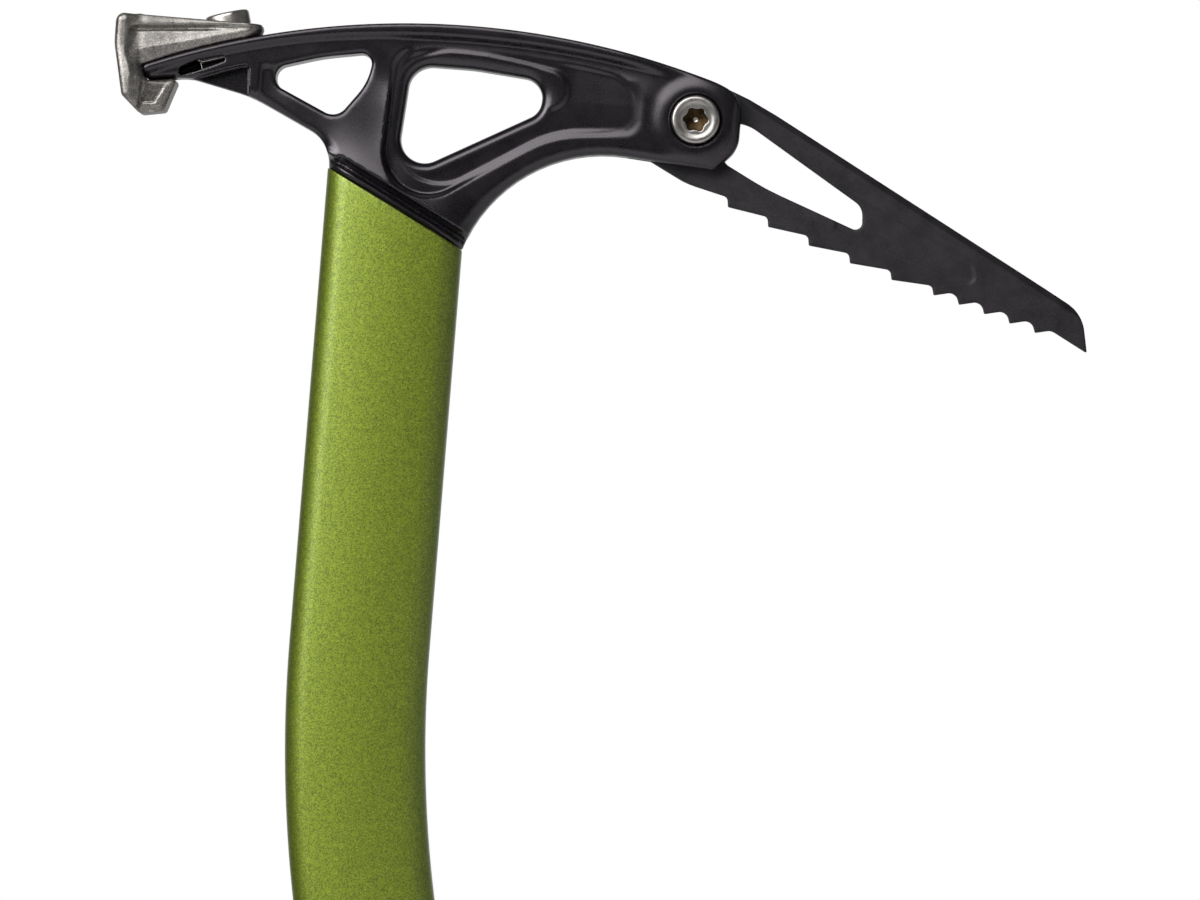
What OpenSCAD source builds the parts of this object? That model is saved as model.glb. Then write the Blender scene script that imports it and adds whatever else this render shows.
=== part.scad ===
// Technical ice axe: a bent tube shaft with a forged head, a bolted pick, a bolted
// hammer, a moulded grip, a grip rest on a quick-release clamp, and a steel spike.
// Frame: origin at the centre of the clip-in hole in the spike, +Z up along the
// grip, +X towards the pick, Y across the tool. Millimetres.
// Head frame: origin at the middle of the shaft's rim, u to the front and v up
// along the upper shaft; drawn as x and z and placed by at_head().

/* [Shaft] */
// Front-to-back depth of the shaft's section
shaft_w = 35; // [33:0.5:37]
// Side-to-side thickness of the shaft's section
shaft_t = 21; // [19:0.5:23]
// Corner radius of the shaft's section
shaft_corner = 7; // [6:0.25:8]
// Crown radius of the shaft's two broad sides
side_r = 60; // [50:1:90]
// Wall of the tube
shaft_wall = 1.8; // [1.4:0.1:2.2]
// Straight bare length between the grip and the bend
lower_len = 8; // [4:0.5:40]
// Straight length above the bend, on the centre line
upper_len = 110; // [90:1:140]
// Bend radius on the centre line
bend_r = 320; // [260:5:400]
// Angle of the bend
bend_angle = 20; // [14:1:24]
// Slope of the rim that the head seats on
rim_slope = 27; // [24:1:30]

/* [Head] */
// Radius of the arched top edge
top_r = 212; // [206:1:220]
// Crown of the arch, ahead of the shaft's axis
crown_u = 16; // [14:0.5:18]
// Crown of the arch, above the middle of the rim
crown_v = 46.8; // [46:0.2:49]
// Reach of the rear arm behind the shaft's axis
arm_reach = 66.2; // [62:0.2:70]
// Thickness across the flanges
head_t = 15; // [13:0.5:16]
// Thickness of the web between the pockets
web_t = 8; // [6:0.5:10]
// Thickness of the lip round the front cut-out
lip_t = 11; // [10.5:0.5:12]
// Thickness across the ledge round the front pocket
ledge_t = 12; // [11.5:0.5:13]
// Width of that ledge
ledge_w = 1.3; // [1:0.1:2.4]
// How much lower that ledge's rear corner lies
ledge_drop = 1; // [0.5:0.1:2]
// Thickness across the lip along the top edge
crest_t = 17; // [16:0.5:18]
// Depth of that lip at the crown
crest_h = 2.4; // [1.6:0.1:3]
// Step from the collar's side in to the flared strut
flare_step = 0.4; // [0.2:0.1:1]
// Height of the strut's flare above the collar
flare_h = 15; // [10:0.5:20]
// Depth of the top flange
top_flange = 6; // [5:0.25:7]
// Height of the collar above the shaft's rim
collar_h = 4; // [3:0.25:5]
// Radius of the cove between the collar and the strut, on each side
cove_r = 1.6; // [1:0.1:2]
// Length of the tang inside the shaft
tang_len = 45; // [36:1:60]
// Bond line between the tang and the tube
bond_t = 0.4; // [0.3:0.05:0.6]
// Wall left round the tang's lightening bore
tang_wall = 3; // [2.5:0.25:4]

/* [Pick] */
// Thickness of the pick
pick_t = 4; // [3:0.25:5]
// Gap on each side of the pick in the fork
pick_gap = 0.1; // [0.05:0.05:0.2]
// Pick bolt ahead of the shaft's axis
bolt_u = 73; // [71:0.5:75]
// Pick bolt above the middle of the rim
bolt_v = 28; // [27:0.25:29]
// Reach of the fork's nose beyond the bolt
nose_reach = 11.3; // [10.5:0.1:12]
// Length of the tang behind the bolt
pick_tang = 16; // [13:0.5:18]
// Pitch of the rear teeth
long_pitch = 11.2; // [10.6:0.1:11.6]
// Number of rear teeth
long_teeth = 6; // [5:1:6]
// Pitch of the front teeth
short_pitch = 6.75; // [6.4:0.05:7]
// Number of front teeth
short_teeth = 4; // [3:1:4]
// Reach of the point beyond the last tooth
beak_len = 13.3; // [12:0.1:15]
// Depth of the recessed panel on each face
panel_depth = 0.4; // [0.2:0.1:0.8]
// Width of the bevel along the top edge
bevel_w = 1.6; // [1:0.1:2.4]
// Depth of that bevel into each face
bevel_d = 1.2; // [0.6:0.1:1.4]

/* [Pick bolt] */
// Radius of the bolt's head
bolt_head_r = 6; // [5.5:0.1:6.4]
// Height of the bolt's head
bolt_head_h = 3.2; // [2.8:0.1:3.6]
// Radius of the bolt's threaded shank
bolt_r = 2.5; // [2:0.1:2.8]
// Outer radius of the nut's barrel
barrel_r = 4; // [3.6:0.1:4.4]
// Width of the six-lobe socket, lobe to lobe
socket_w = 6.2; // [5:0.1:6.8]
// Depth of the socket
socket_depth = 2.2; // [1.6:0.1:2.4]

/* [Hammer] */
// Hammer bolt behind the shaft's axis
hammer_bolt_u = -42.5; // [-44:0.5:-41]
// Radius of the hammer bolt's head
hammer_head_r = 5.5; // [5:0.1:6]
// Height of the hammer bolt's head
hammer_head_h = 3.5; // [3:0.1:4]
// Width of the hammer bolt's head across its two flats
hammer_flats = 10.1; // [9.4:0.1:10.6]
// Radius of the hammer bolt's shank
hammer_bolt_r = 3; // [2.5:0.1:3.3]
// Thickness of the hammer's foot under the bolt's head
foot_t = 4; // [3.4:0.1:4.2]
// Half width of the striking block
block_half = 12; // [10.5:0.5:13]
// Half width of the foot
foot_half = 8.5; // [7.5:0.25:9]
// Height of the flat top above the arm's edge at the hammer bolt
hammer_top = 4.4; // [4:0.1:5]

/* [Grip] */
// Wall of the moulded grip
grip_wall = 2; // [1.5:0.1:2.5]
// Length of the grip
grip_len = 158; // [145:1:165]
// Depth of the grip's grooves
groove_depth = 0.7; // [0.4:0.1:1]
// Width of a groove
groove_w = 2; // [1.5:0.1:3]
// Pitch of the grooves
groove_pitch = 7; // [5:0.5:10]
// Number of grooves
groove_count = 13; // [8:1:14]

/* [Spike] */
// Radius of the clip-in hole
clip_r = 7.5; // [6:0.25:8.5]
// Thickness of the spike's blade
blade_t = 7; // [6:0.25:9]
// Height of the shaft's end above the clip-in hole
shaft_end = 24; // [23:0.5:27]
// Height of the spike's collar
spike_collar = 7; // [5:0.5:8]
// Depth of the point below the clip-in hole
point_depth = 42; // [36:1:50]
// Length of the spike's tang inside the shaft
spike_tang = 34; // [28:1:40]
// Wall of the spike's hollow tang
spike_wall = 2.5; // [2:0.25:3]
// Radius of the spike's rivet
rivet_r = 2; // [1.5:0.1:2.5]

/* [Grip rest] */
// Gap between the clamp's ring and the grip
ring_gap = 0.3; // [0.2:0.05:0.5]
// Wall of the clamp's ring
ring_wall = 3.5; // [3:0.25:4.5]
// Height of the clamp's ring
ring_h = 22; // [20:0.5:26]
// Gap between the ring and the spike's collar
rest_gap = 3; // [1:0.5:6]
// Width of the slit between the ears
slit_w = 2.4; // [1.5:0.1:3]
// Thickness of an ear
ear_t = 6; // [5:0.25:7]
// Radius of an ear
ear_r = 7; // [6:0.25:8]
// Reach of the finger shelf in front of the ring
shelf_reach = 29; // [24:0.5:34]
// Width of the finger shelf
shelf_w = 20; // [16:0.5:24]
// Radius of the skewer
skewer_r = 2.5; // [2:0.1:3]
// Radius of the lever's cam
cam_r = 5.5; // [5:0.1:6]
// Offset of the cam from the axle
cam_offset = 1; // [0.6:0.1:1.2]
// Radius of the lever's axle
axle_r = 2; // [1.6:0.1:2.3]
// Thickness of the lever
lever_t = 4; // [3:0.25:5]
// Height of the lever
lever_h = 14; // [12:0.5:16]
// Reach of the lever past the axle
lever_reach = 42; // [34:1:48]
// Thickness of the washer under the cam
washer_t = 1.5; // [1:0.1:2]

/* [Hidden] */
$fn = 72;

fit = 0.05;          // radial room of a pin or bolt in its hole
seat = 0.1;          // room of a loosely fitted outline
far = 200;           // longer than any piece that a cut passes through
hair = 0.02;         // step at the bend's end, where the upper straight joins it
arc_step = 6;        // degrees between the points of a rounded corner

half_w = shaft_w / 2;
half_t = shaft_t / 2;
rim_drop = half_w * tan(rim_slope);
neck_top = shaft_end + grip_len;
bend_z = neck_top + lower_len;

// Rounded outlines: each vertex is [x, y, corner radius]
function unit(v) = v / norm(v);
function turn(a, b, p) = (b.x - a.x) * (p.y - b.y) - (b.y - a.y) * (p.x - b.x);
function corner(a, b, c) =
    let (p = [b.x, b.y], d1 = unit([a.x, a.y] - p), d2 = unit([c.x, c.y] - p),
         half = acos(max(-1, min(1, d1 * d2))) / 2)
    b[2] < 0.01 || half > 89.5 ? [p] :
    let (mid = p + unit(d1 + d2) * b[2] / sin(half),
         from = p + d1 * b[2] / tan(half) - mid,
         to = p + d2 * b[2] / tan(half) - mid,
         a0 = atan2(from.y, from.x),
         sweep = (atan2(to.y, to.x) - a0 + 540) % 360 - 180,
         n = max(2, ceil(abs(sweep) / arc_step)))
    [for (i = [0:n]) mid + b[2] * [cos(a0 + sweep * i / n), sin(a0 + sweep * i / n)]];
function rounded(v) =
    [for (i = [0:len(v) - 1])
        each corner(v[(i + len(v) - 1) % len(v)], v[i], v[(i + 1) % len(v)])];

// The outline moved outwards by d, for vertices that run anticlockwise
function grown(v, d) =
    [for (i = [0:len(v) - 1])
        let (a = v[(i + len(v) - 1) % len(v)], b = v[i], c = v[(i + 1) % len(v)],
             d1 = unit([a.x - b.x, a.y - b.y]), d2 = unit([c.x - b.x, c.y - b.y]),
             half = acos(max(-1, min(1, d1 * d2))) / 2,
             convex = turn(a, b, c) > 0 ? 1 : -1,
             p = [b.x, b.y] - convex * unit(d1 + d2) * d / sin(half))
        [p.x, p.y, max(0, b[2] + convex * d)]];

// Placing and extruding
module side_extrude(t) { rotate([90, 0, 0]) linear_extrude(t, center = true) children(); }
module front_extrude(t) { rotate([90, 0, 90]) linear_extrude(t, center = true) children(); }
module across(r, t) { rotate([90, 0, 0]) cylinder(r = r, h = t, center = true); }
module outline(v) { polygon(rounded(v)); }
module both_sides(y) {
    translate([0, y, 0]) children();
    translate([0, -y, 0]) children();
}
module at_bend_end() {
    translate([bend_r, 0, bend_z]) rotate([0, bend_angle, 0]) translate([-bend_r, 0, 0]) children();
}
module at_head() { at_bend_end() translate([0, 0, upper_len]) children(); }
module rim_slab(from, h) {
    rotate([0, rim_slope, 0]) translate([-far / 2, -far / 2, from]) cube([far, far, h]);
}

// The shaft's section, drawn smaller on every side by inset: two crowned sides, flat
// front and back, and round corners that the sides trim
trim = 0.03;         // how far the corners stand proud before the sides trim them
corner_x = half_w - shaft_corner;
side_mid = side_r - half_t;
corner_y = sqrt(pow(side_r - shaft_corner, 2) - corner_x * corner_x) - side_mid + trim;
module section(inset) {
    r = max(0.5, shaft_corner - inset);
    tangent_x = corner_x * (side_r - inset) / (side_r - shaft_corner);
    intersection() {
        union() {
            square([2 * (corner_x + r), 2 * corner_y], center = true);
            square([2 * tangent_x, 2 * shaft_t], center = true);
            for (x = [-1, 1], y = [-1, 1]) translate([x * corner_x, y * corner_y]) circle(r);
        }
        translate([0, side_mid]) circle(side_r - inset, $fn = 360);
        translate([0, -side_mid]) circle(side_r - inset, $fn = 360);
    }
}
module straight(inset, from, to) { translate([0, 0, from]) linear_extrude(to - from) section(inset); }
module bend(inset) {
    translate([bend_r, 0, bend_z]) mirror([1, 0, 0]) rotate([90, 0, 0])
        rotate_extrude(angle = bend_angle, $fn = 360) translate([bend_r, 0]) section(inset);
}

// Shaft: a hydroformed tube, necked in under the grip and cut on a slope at the rim
neck_inset = grip_wall;
upper_wall = shaft_wall + hair;
module shaft() {
    color("yellowgreen") {
        difference() {
            union() {
                straight(0, neck_top, bend_z);
                bend(0);
                at_bend_end() straight(hair, -1, upper_len + rim_drop + 1);
            }
            straight(neck_inset + shaft_wall, neck_top - 1, neck_top + shaft_wall);
            straight(shaft_wall, neck_top + shaft_wall, bend_z);
            bend(shaft_wall);
            at_bend_end() straight(upper_wall, -1, upper_len + far);
            at_head() rim_slab(0, far);
        }
        difference() {
            straight(neck_inset, shaft_end, neck_top + shaft_wall / 2);
            straight(neck_inset + shaft_wall, shaft_end - 1, neck_top + shaft_wall);
            across_rivet(rivet_r);
        }
    }
}
module across_rivet(r) {
    translate([0, 0, shaft_end + spike_tang / 2]) across(r, shaft_t);
}

// Head: one forging with an arched top, a fork for the pick and a rear arm
top_mid = [crown_u, crown_v - top_r];
nose_u = bolt_u + nose_reach;
fork_low = bolt_v - 12.2;
slot_end = bolt_u - pick_tang;
function on_top(u) = top_mid.y + sqrt(top_r * top_r - pow(u - crown_u, 2));

arm_end = -arm_reach;
head_vertices = [
    [half_w - 4.5, -rim_drop - 14.3, 0],
    [half_w + 9, 19.7, 38],
    [nose_u - 5.6, fork_low, 2.5],
    [nose_u, fork_low + 5.8, 7],
    [nose_u, bolt_v + 6.2, 9],
    [nose_u - 14.3, bolt_v + 15.5, 0],
    [crown_u, crown_v + 6, 0],
    [arm_end, crown_v + 2, 0],
    [arm_end, crown_v - 14.4, 1],
    [arm_end + 1.9, crown_v - 20, 2],
    [arm_end + 12.2, crown_v - 18.4, 12],
    [-half_w + 0.3, 17.4, 11.5],
    [-half_w - 0.3, rim_drop - 8.5, 0]];
front_cutout = [[-0.7, 7.2, 6], [34.2, 26.6, 4.8], [34.9, 34.6, 5], [17, 36.1, 40], [1.4, 36, 6]];
rear_cutout = [[-16.5, 20.2, 4], [-9.3, 30.5, 15], [-8, 38.4, 2.6], [-21, 36.1, 50], [-38.5, 30.6, 3]];
front_pocket = [
    [-3, -3.4, 12], [37.7, 22.2, 28], [57.6, 24.4, 4], [57.6, 50, 0], [14, 50, 0], [-1.2, 37.5, 8]];
rear_pocket = [[-38.5, crown_v - 20.8, 1], [-38.9, crown_v - 13.4, 1], [-51.3, crown_v - 17.9, 0.6]];
lip = 2.4;           // width of the lip round the front cut-out

module under_top(drop) { translate(top_mid) circle(top_r - drop, $fn = 720); }
module head_side() {
    difference() {
        intersection() {
            outline(head_vertices);
            under_top(0);
        }
        outline(front_cutout);
        outline(rear_cutout);
    }
}
module head_pockets() {
    intersection() {
        outline(front_pocket);
        under_top(top_flange);
    }
    outline(rear_pocket);
}
// The ledge is widest under the pocket's rear corner, which is the first vertex and turns tighter there
function dropped(v) = concat([v[0] + [0, -ledge_drop, -2.3]], [for (i = [1:len(v) - 1]) v[i]]);
module head_ledge() {
    intersection() {
        outline(dropped(grown(front_pocket, ledge_w)));
        under_top(top_flange - ledge_w / 2);
    }
}
// A cut into both faces of the head, down to the thickness t
module sunk_to(t) { both_sides((t + far) / 2) side_extrude(far) children(); }
// The lip along the top edge is a crescent, deepest at the crown
crest_flat = 48;     // how much flatter the lip's lower edge is than the arch
crest_r = top_r + crest_flat;
module head_crest() {
    side_extrude(crest_t) difference() {
        head_side();
        translate([crown_u, crown_v - crest_h - crest_r]) circle(crest_r, $fn = 720);
    }
}
// The strut swells from the head's thickness to the shaft's, just above the collar
module head_flare() {
    flare_half = half_t - flare_step;
    intersection() {
        side_extrude(shaft_t) head_side();
        straight(flare_step, -rim_drop, rim_drop + collar_h + 2 * flare_h);
        rotate([0, rim_slope, 0]) front_extrude(far) polygon([
            [-flare_half, 0], [flare_half, 0], [flare_half, collar_h],
            [head_t / 2 - 0.5, collar_h + flare_h], [-head_t / 2 + 0.5, collar_h + flare_h],
            [-flare_half, collar_h]]);
    }
}
module below_collar() {
    intersection() {
        rim_slab(-far, far + collar_h / 2);
        cube([shaft_w + 2, far, far], center = true);
    }
}
module head_collar() {
    intersection() {
        straight(0, -rim_drop - 1, rim_drop + 2 * collar_h);
        rim_slab(0, collar_h);
    }
}
// A round groove across each side, which runs out where the section curves away
module coves() {
    run = shaft_w / cos(rim_slope);
    rotate([0, rim_slope, 0]) both_sides(half_t) translate([-run / 2, 0, collar_h * 0.75])
        rotate([0, 90, 0]) cylinder(r = cove_r, h = run);
}
module head_tang(inset, rise) {
    intersection() {
        straight(inset, -tang_len, rim_drop + 2 * rise);
        rim_slab(-far, far + rise);
    }
}
boss_r = 10.3;
boss_h = 0.9;
boss_slope = 1.6;
module fork_boss() {
    root = 0.5;
    translate([bolt_u, 0, bolt_v]) for (s = [90, -90]) rotate([s, 0, 0]) translate([0, 0, head_t / 2 - root])
        cylinder(r1 = boss_r + boss_slope * root, r2 = boss_r - boss_slope * boss_h, h = boss_h + root);
}
ear_out = head_t / 2 + boss_h;
bolt_sink = 1.4;     // how far the pick bolt's head and nut sit in the ears
nut_af = 11;         // width of the pick nut's hexagon across its flats
nut_r = nut_af / sqrt(3);
module head() {
    color([0.1, 0.1, 0.11]) at_head() difference() {
        union() {
            difference() {
                union() {
                    side_extrude(head_t) head_side();
                    head_flare();
                    head_crest();
                }
                sunk_to(web_t) head_pockets();
                sunk_to(ledge_t) head_ledge();
                below_collar();
            }
            difference() {
                side_extrude(lip_t) outline(grown(front_cutout, lip));
                side_extrude(lip_t + 2) outline(front_cutout);
                below_collar();
            }
            head_collar();
            head_tang(upper_wall + bond_t, collar_h / 2);
            fork_boss();
        }
        coves();
        translate([slot_end, -pick_t / 2 - pick_gap, 0]) cube([far, pick_t + 2 * pick_gap, far]);
        translate([bolt_u, 0, bolt_v]) across(barrel_r + fit, far);
        translate([bolt_u, -ear_out - far / 2 + bolt_sink, bolt_v]) across(bolt_head_r + 0.4, far);
        translate([bolt_u, ear_out + far / 2 - bolt_sink, bolt_v])
            rotate([90, 0, 0]) cylinder(r = nut_r + seat, h = far, center = true, $fn = 6);
        at_hammer_bolt() {
            cylinder(r = hammer_bolt_r + fit, h = far, center = true);
            nut_chamber();
            nut_mouth();
        }
        tang_bore_r = half_t - upper_wall - bond_t - tang_wall;
        for (x = [-1, 1]) translate([x * (tang_bore_r + 1), 0, -tang_len - 1])
            cylinder(r = tang_bore_r, h = tang_len - rim_drop);
    }
}
module head_bond() {
    color("khaki") at_head() difference() {
        head_tang(upper_wall, 0);
        straight(upper_wall + bond_t, -tang_len - 1, rim_drop + 1);
    }
}

// Hammer bolt's own frame: on the arm's top edge, with z out of the edge
hammer_tilt = asin((crown_u - hammer_bolt_u) / top_r);
flange_under = 2.8;  // arm's flange between the top edge and the nut's window
nut_t = 2.6;
nut_len = 13;
nut_w = 11;
nut_front = 4.3;     // reach of the nut ahead of its bolt
window_h = 3;
module at_hammer_bolt() {
    translate([hammer_bolt_u, 0, on_top(hammer_bolt_u)]) rotate([0, -hammer_tilt, 0]) children();
}
// The nut goes in from the far side; the near side has a blind mouth that shows its edge
mouth_end = 3.5;     // how far past the middle the mouth reaches
module nut_chamber() {
    translate([nut_front - nut_len - 0.4, -nut_w / 2 - 0.3, -flange_under - window_h])
        cube([nut_len + 0.8, far, window_h]);
}
module nut_mouth() {
    low = -flange_under - window_h;
    translate([0, mouth_end - far / 2, 0]) side_extrude(far) outline([
        [-16.6, low, 0.9], [-11.6, low + 0.3, 4], [-3.8, low + 1.4, 0.5], [-3.8, low + 2.8, 0.4],
        [-10.3, low + 2.95, 2.5], [-15.2, low + 2.2, 1.2]]);
}

// Pick: a steel plate with a tang, a long slot and two runs of teeth
first_tip = [82.9, 7.2];
first_dir = -21.5;
dir_step = 1.45;
back_long = 1.2;
deep_long = 2.15;
back_short = 1.8;
deep_short = 2.7;
last_tooth = long_teeth + short_teeth - 1;
function is_long(i) = i < long_teeth;
function tooth_dir(i) = first_dir + dir_step * min(max(i - 1, 0), long_teeth - 2);
function tip(i) =
    i == 0 ? first_tip :
    tip(i - 1) + (is_long(i) ? long_pitch : short_pitch) * [cos(tooth_dir(i)), sin(tooth_dir(i))];
function gullet(i) =
    let (a = tooth_dir(i), t = tip(i), back = is_long(i) ? back_long : back_short,
         deep = is_long(i) ? deep_long : deep_short)
    [t.x - back * cos(a) - deep * sin(a), t.y - back * sin(a) + deep * cos(a), is_long(i) ? 1.3 : 2.2];
point = tip(last_tooth) + [beak_len, -4];
pick_vertices = concat(
    [[slot_end + seat, 21, 1.5], [61.5, 17.5, 0], [72, 12.2, 20]],
    [for (i = [0:last_tooth]) each [gullet(i), [tip(i).x, tip(i).y, 0]]],
    [[tip(last_tooth).x + 4, tip(last_tooth).y + 0.9, 2.5],
     [point.x, point.y, 0],
     [point.x - 2, point.y + 10.1, 10],
     [86.4, 34.6, 90],
     [bolt_u + 4.7, on_top(bolt_u + 4.7) - seat, 0],
     [slot_end + seat, on_top(slot_end) - 0.4, 1.5]]);
pick_slot = [[80.5, 18.3, 3], [92, 12.4, 60], [116.9, 3.3, 1.8], [116.4, 9.9, 4], [86.5, 28, 10], [81.5, 28.4, 2.5]];
pick_panel = [[110, 3.9, 0], [146.4, -7.9, 1.6], [144.8, -1.8, 2], [110, 14.4, 0]];
// The top edge's straight run is bevelled on both faces
bevel_from = [86.4, 34.6];
bevel_to = [point.x - 2, point.y + 10.1];
module pick_bevels() {
    run = bevel_to - bevel_from;
    face = pick_t / 2;
    translate([bevel_from.x, 0, bevel_from.y]) rotate([0, -atan2(run.y, run.x), 0])
        translate([norm(run) / 2, 0, 0]) for (s = [0, 180]) rotate([0, 0, s]) front_extrude(norm(run)) polygon([
            [face - bevel_d, 0], [face, -bevel_w], [face + 1, -bevel_w], [face + 1, 2], [face - bevel_d, 2]]);
}
module pick() {
    color([0.12, 0.12, 0.13]) at_head() difference() {
        side_extrude(pick_t) difference() {
            outline(pick_vertices);
            outline(pick_slot);
        }
        translate([bolt_u, 0, bolt_v]) across(barrel_r + fit, far);
        both_sides(pick_t / 2 + 1 - panel_depth) side_extrude(2) outline(pick_panel);
        pick_bevels();
    }
}

// Pick bolt and its barrel nut, clamped across the fork
module six_lobe(w) {
    lobe = w * 0.14;
    for (i = [0:5]) rotate(60 * i) translate([w / 2 - lobe, 0]) circle(lobe, $fn = 24);
    circle(w * 0.42, $fn = 48);
}
module pick_bolt() {
    seat_y = -ear_out + bolt_sink;
    color("silver") at_head() translate([bolt_u, 0, bolt_v]) difference() {
        union() {
            translate([0, seat_y, 0]) rotate([90, 0, 0]) {
                cylinder(r = bolt_head_r, h = bolt_head_h - 0.7);
                translate([0, 0, bolt_head_h - 0.7])
                    cylinder(r1 = bolt_head_r, r2 = bolt_head_r - 0.7, h = 0.7);
            }
            rotate([90, 0, 0]) translate([0, 0, -ear_out])
                cylinder(r = bolt_r, h = ear_out - seat_y + (bolt_head_h - socket_depth) / 2);
        }
        translate([0, seat_y - bolt_head_h + socket_depth, 0])
            rotate([90, 0, 0]) linear_extrude(far) six_lobe(socket_w);
    }
}
module pick_nut() {
    seat_y = ear_out - bolt_sink;
    color("gray") at_head() translate([bolt_u, 0, bolt_v]) difference() {
        union() {
            translate([0, seat_y, 0]) rotate([-90, 0, 0]) cylinder(r = nut_r, h = bolt_head_h, $fn = 6);
            translate([0, seat_y + 0.01, 0]) rotate([90, 0, 0])
                cylinder(r = barrel_r, h = 2 * seat_y - 0.5);
        }
        across(bolt_r + fit, far);
    }
}

// Hammer: a cast block that hooks over the arm's end, with a foot along its top
hammer_gap = 0.1;
hammer_v = on_top(hammer_bolt_u) + hammer_top;
foot_end = hammer_bolt_u + 6.5;
block_u = arm_end - 0.3;   // inner face of the block, against the arm's end
block_vertices = [
    [block_u, crown_v - 14.6, 0.5],
    [block_u, hammer_v, 0],
    [block_u - 6.4, hammer_v, 2.2],
    [block_u - 6.3, crown_v - 11.3, 12],
    [block_u - 3.4, crown_v - 24.2, 1.5],
    [block_u + 1.3, crown_v - 28.4, 1.5],
    [block_u + 7.3, crown_v - 27.3, 1],
    [block_u + 10.1, crown_v - 19.4, 0.8],
    [block_u + 2, crown_v - 20.4, 1]];
foot_vertices = [
    [block_u - 1, crown_v - 12.8, 0], [foot_end + 0.6, crown_v - 12.8, 0],
    [foot_end, hammer_v, 1.4], [block_u - 1, hammer_v, 0]];
jaw_half = foot_half + 1;   // half width of the jaw, behind the wide striking face
hammer_plan = [
    [block_u - 7.5, -block_half + 2.5, 0], [block_u - 4.5, -block_half, 2], [block_u - 1.5, -block_half, 1],
    [block_u + 2, -jaw_half, 2], [block_u + 10, -foot_half, 6], [foot_end, -foot_half, 5],
    [foot_end, foot_half, 5], [block_u + 10, foot_half, 6], [block_u + 2, jaw_half, 2],
    [block_u - 1.5, block_half, 1], [block_u - 4.5, block_half, 2], [block_u - 7.5, block_half - 2.5, 0]];
jaw_panel = [
    [block_u + 1.6, crown_v - 25.6, 0.6], [block_u + 5.2, crown_v - 25.4, 0.6],
    [block_u + 7.6, crown_v - 20.9, 0.6], [block_u + 2.2, crown_v - 21.4, 0.6]];
flute_r = 3.6;
flute_from = [block_u - 2.3, crown_v - 10.2];
flute_to = [foot_end + 2, crown_v - 2.4];
module flutes() {
    run = flute_to - flute_from;
    for (s = [-1, 1]) translate([flute_from.x, s * (foot_half + 2.1), flute_from.y])
        rotate([0, 90 - atan2(run.y, run.x), 0]) cylinder(r = flute_r, h = norm(run));
}
module hammer_from_above() { linear_extrude(far) outline(hammer_plan); }
module hammer() {
    color("lightgray") at_head() difference() {
        union() {
            intersection() {
                side_extrude(2 * block_half + 2) outline(block_vertices);
                hammer_from_above();
            }
            intersection() {
                side_extrude(2 * block_half + 2) difference() {
                    outline(foot_vertices);
                    under_top(-hammer_gap);
                }
                hammer_from_above();
            }
        }
        flutes();
        both_sides(jaw_half + 1.6) side_extrude(4) outline(jaw_panel);
        at_hammer_bolt() {
            cylinder(r = hammer_bolt_r + fit, h = far, center = true);
            translate([0, 0, foot_t]) cylinder(r = hammer_head_r + 0.3, h = far);
        }
    }
}
module hammer_bolt() {
    bottom = -flange_under - nut_t;
    color("silver") at_head() at_hammer_bolt() difference() {
        union() {
            translate([0, 0, foot_t]) cylinder(r = hammer_head_r, h = hammer_head_h - 0.8);
            translate([0, 0, foot_t + hammer_head_h - 0.8])
                cylinder(r1 = hammer_head_r, r2 = hammer_head_r - 0.8, h = 0.8);
            translate([0, 0, bottom]) cylinder(r = hammer_bolt_r,
                h = foot_t - bottom + (hammer_head_h - socket_depth) / 2);
        }
        translate([0, 0, foot_t + hammer_head_h - socket_depth]) linear_extrude(far) six_lobe(socket_w);
        for (a = [-48, 132]) rotate(a) translate([hammer_flats / 2, -far / 2, foot_t - 0.01]) cube([far, far, far]);
    }
}
module hammer_nut() {
    color("gray") at_head() at_hammer_bolt() difference() {
        translate([nut_front - nut_len, -nut_w / 2, -flange_under - nut_t]) cube([nut_len, nut_w, nut_t]);
        cylinder(r = hammer_bolt_r + fit, h = far, center = true);
    }
}

// Grip: a moulded sleeve on the neck of the shaft, flush with the tube above it
groove_from = neck_top - 12;
module grip() {
    color([0.13, 0.13, 0.13]) difference() {
        straight(0, shaft_end, neck_top);
        straight(neck_inset, shaft_end - 1, neck_top + 1);
        for (i = [0:groove_count - 1]) translate([0, 0, groove_from - i * groove_pitch - groove_w])
            linear_extrude(groove_w) difference() {
                square([shaft_w + 2, shaft_t + 2], center = true);
                section(groove_depth);
            }
    }
}

// Spike: a cast point with a collar, a clip-in hole and a tang riveted in the shaft
blade_top = shaft_end - spike_collar;
spike_side = [
    [-half_w, blade_top + 1, 0], [-half_w + 1.5, -2, 16], [0.5, -point_depth, 0.8],
    [4.5, -point_depth, 0.8], [half_w - 1.2, -2, 16], [half_w, blade_top + 1, 0]];
spike_front = [
    [-half_t, blade_top + 1, 0], [-half_t, blade_top, 0], [-blade_t / 2, blade_top - 5.5, 5],
    [-blade_t / 2, -point_depth + 14, 20], [-0.8, -point_depth - 1, 0], [0.8, -point_depth - 1, 0],
    [blade_t / 2, -point_depth + 14, 20], [blade_t / 2, blade_top - 5.5, 5],
    [half_t, blade_top, 0], [half_t, blade_top + 1, 0]];
module spike() {
    color("silver") difference() {
        union() {
            intersection() {
                side_extrude(shaft_t) outline(spike_side);
                front_extrude(far) outline(spike_front);
                straight(0, -far / 2, shaft_end);
            }
            straight(0, blade_top, shaft_end);
            straight(neck_inset + shaft_wall + seat, shaft_end - 1, shaft_end + spike_tang);
        }
        straight(neck_inset + shaft_wall + seat + spike_wall, shaft_end - 3, far);
        across(clip_r, far);
        across_rivet(rivet_r + fit);
    }
}
module spike_rivet() {
    color("silver") translate([0, 0, shaft_end + spike_tang / 2]) across(rivet_r - fit, shaft_t - 2 * neck_inset);
}

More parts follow.
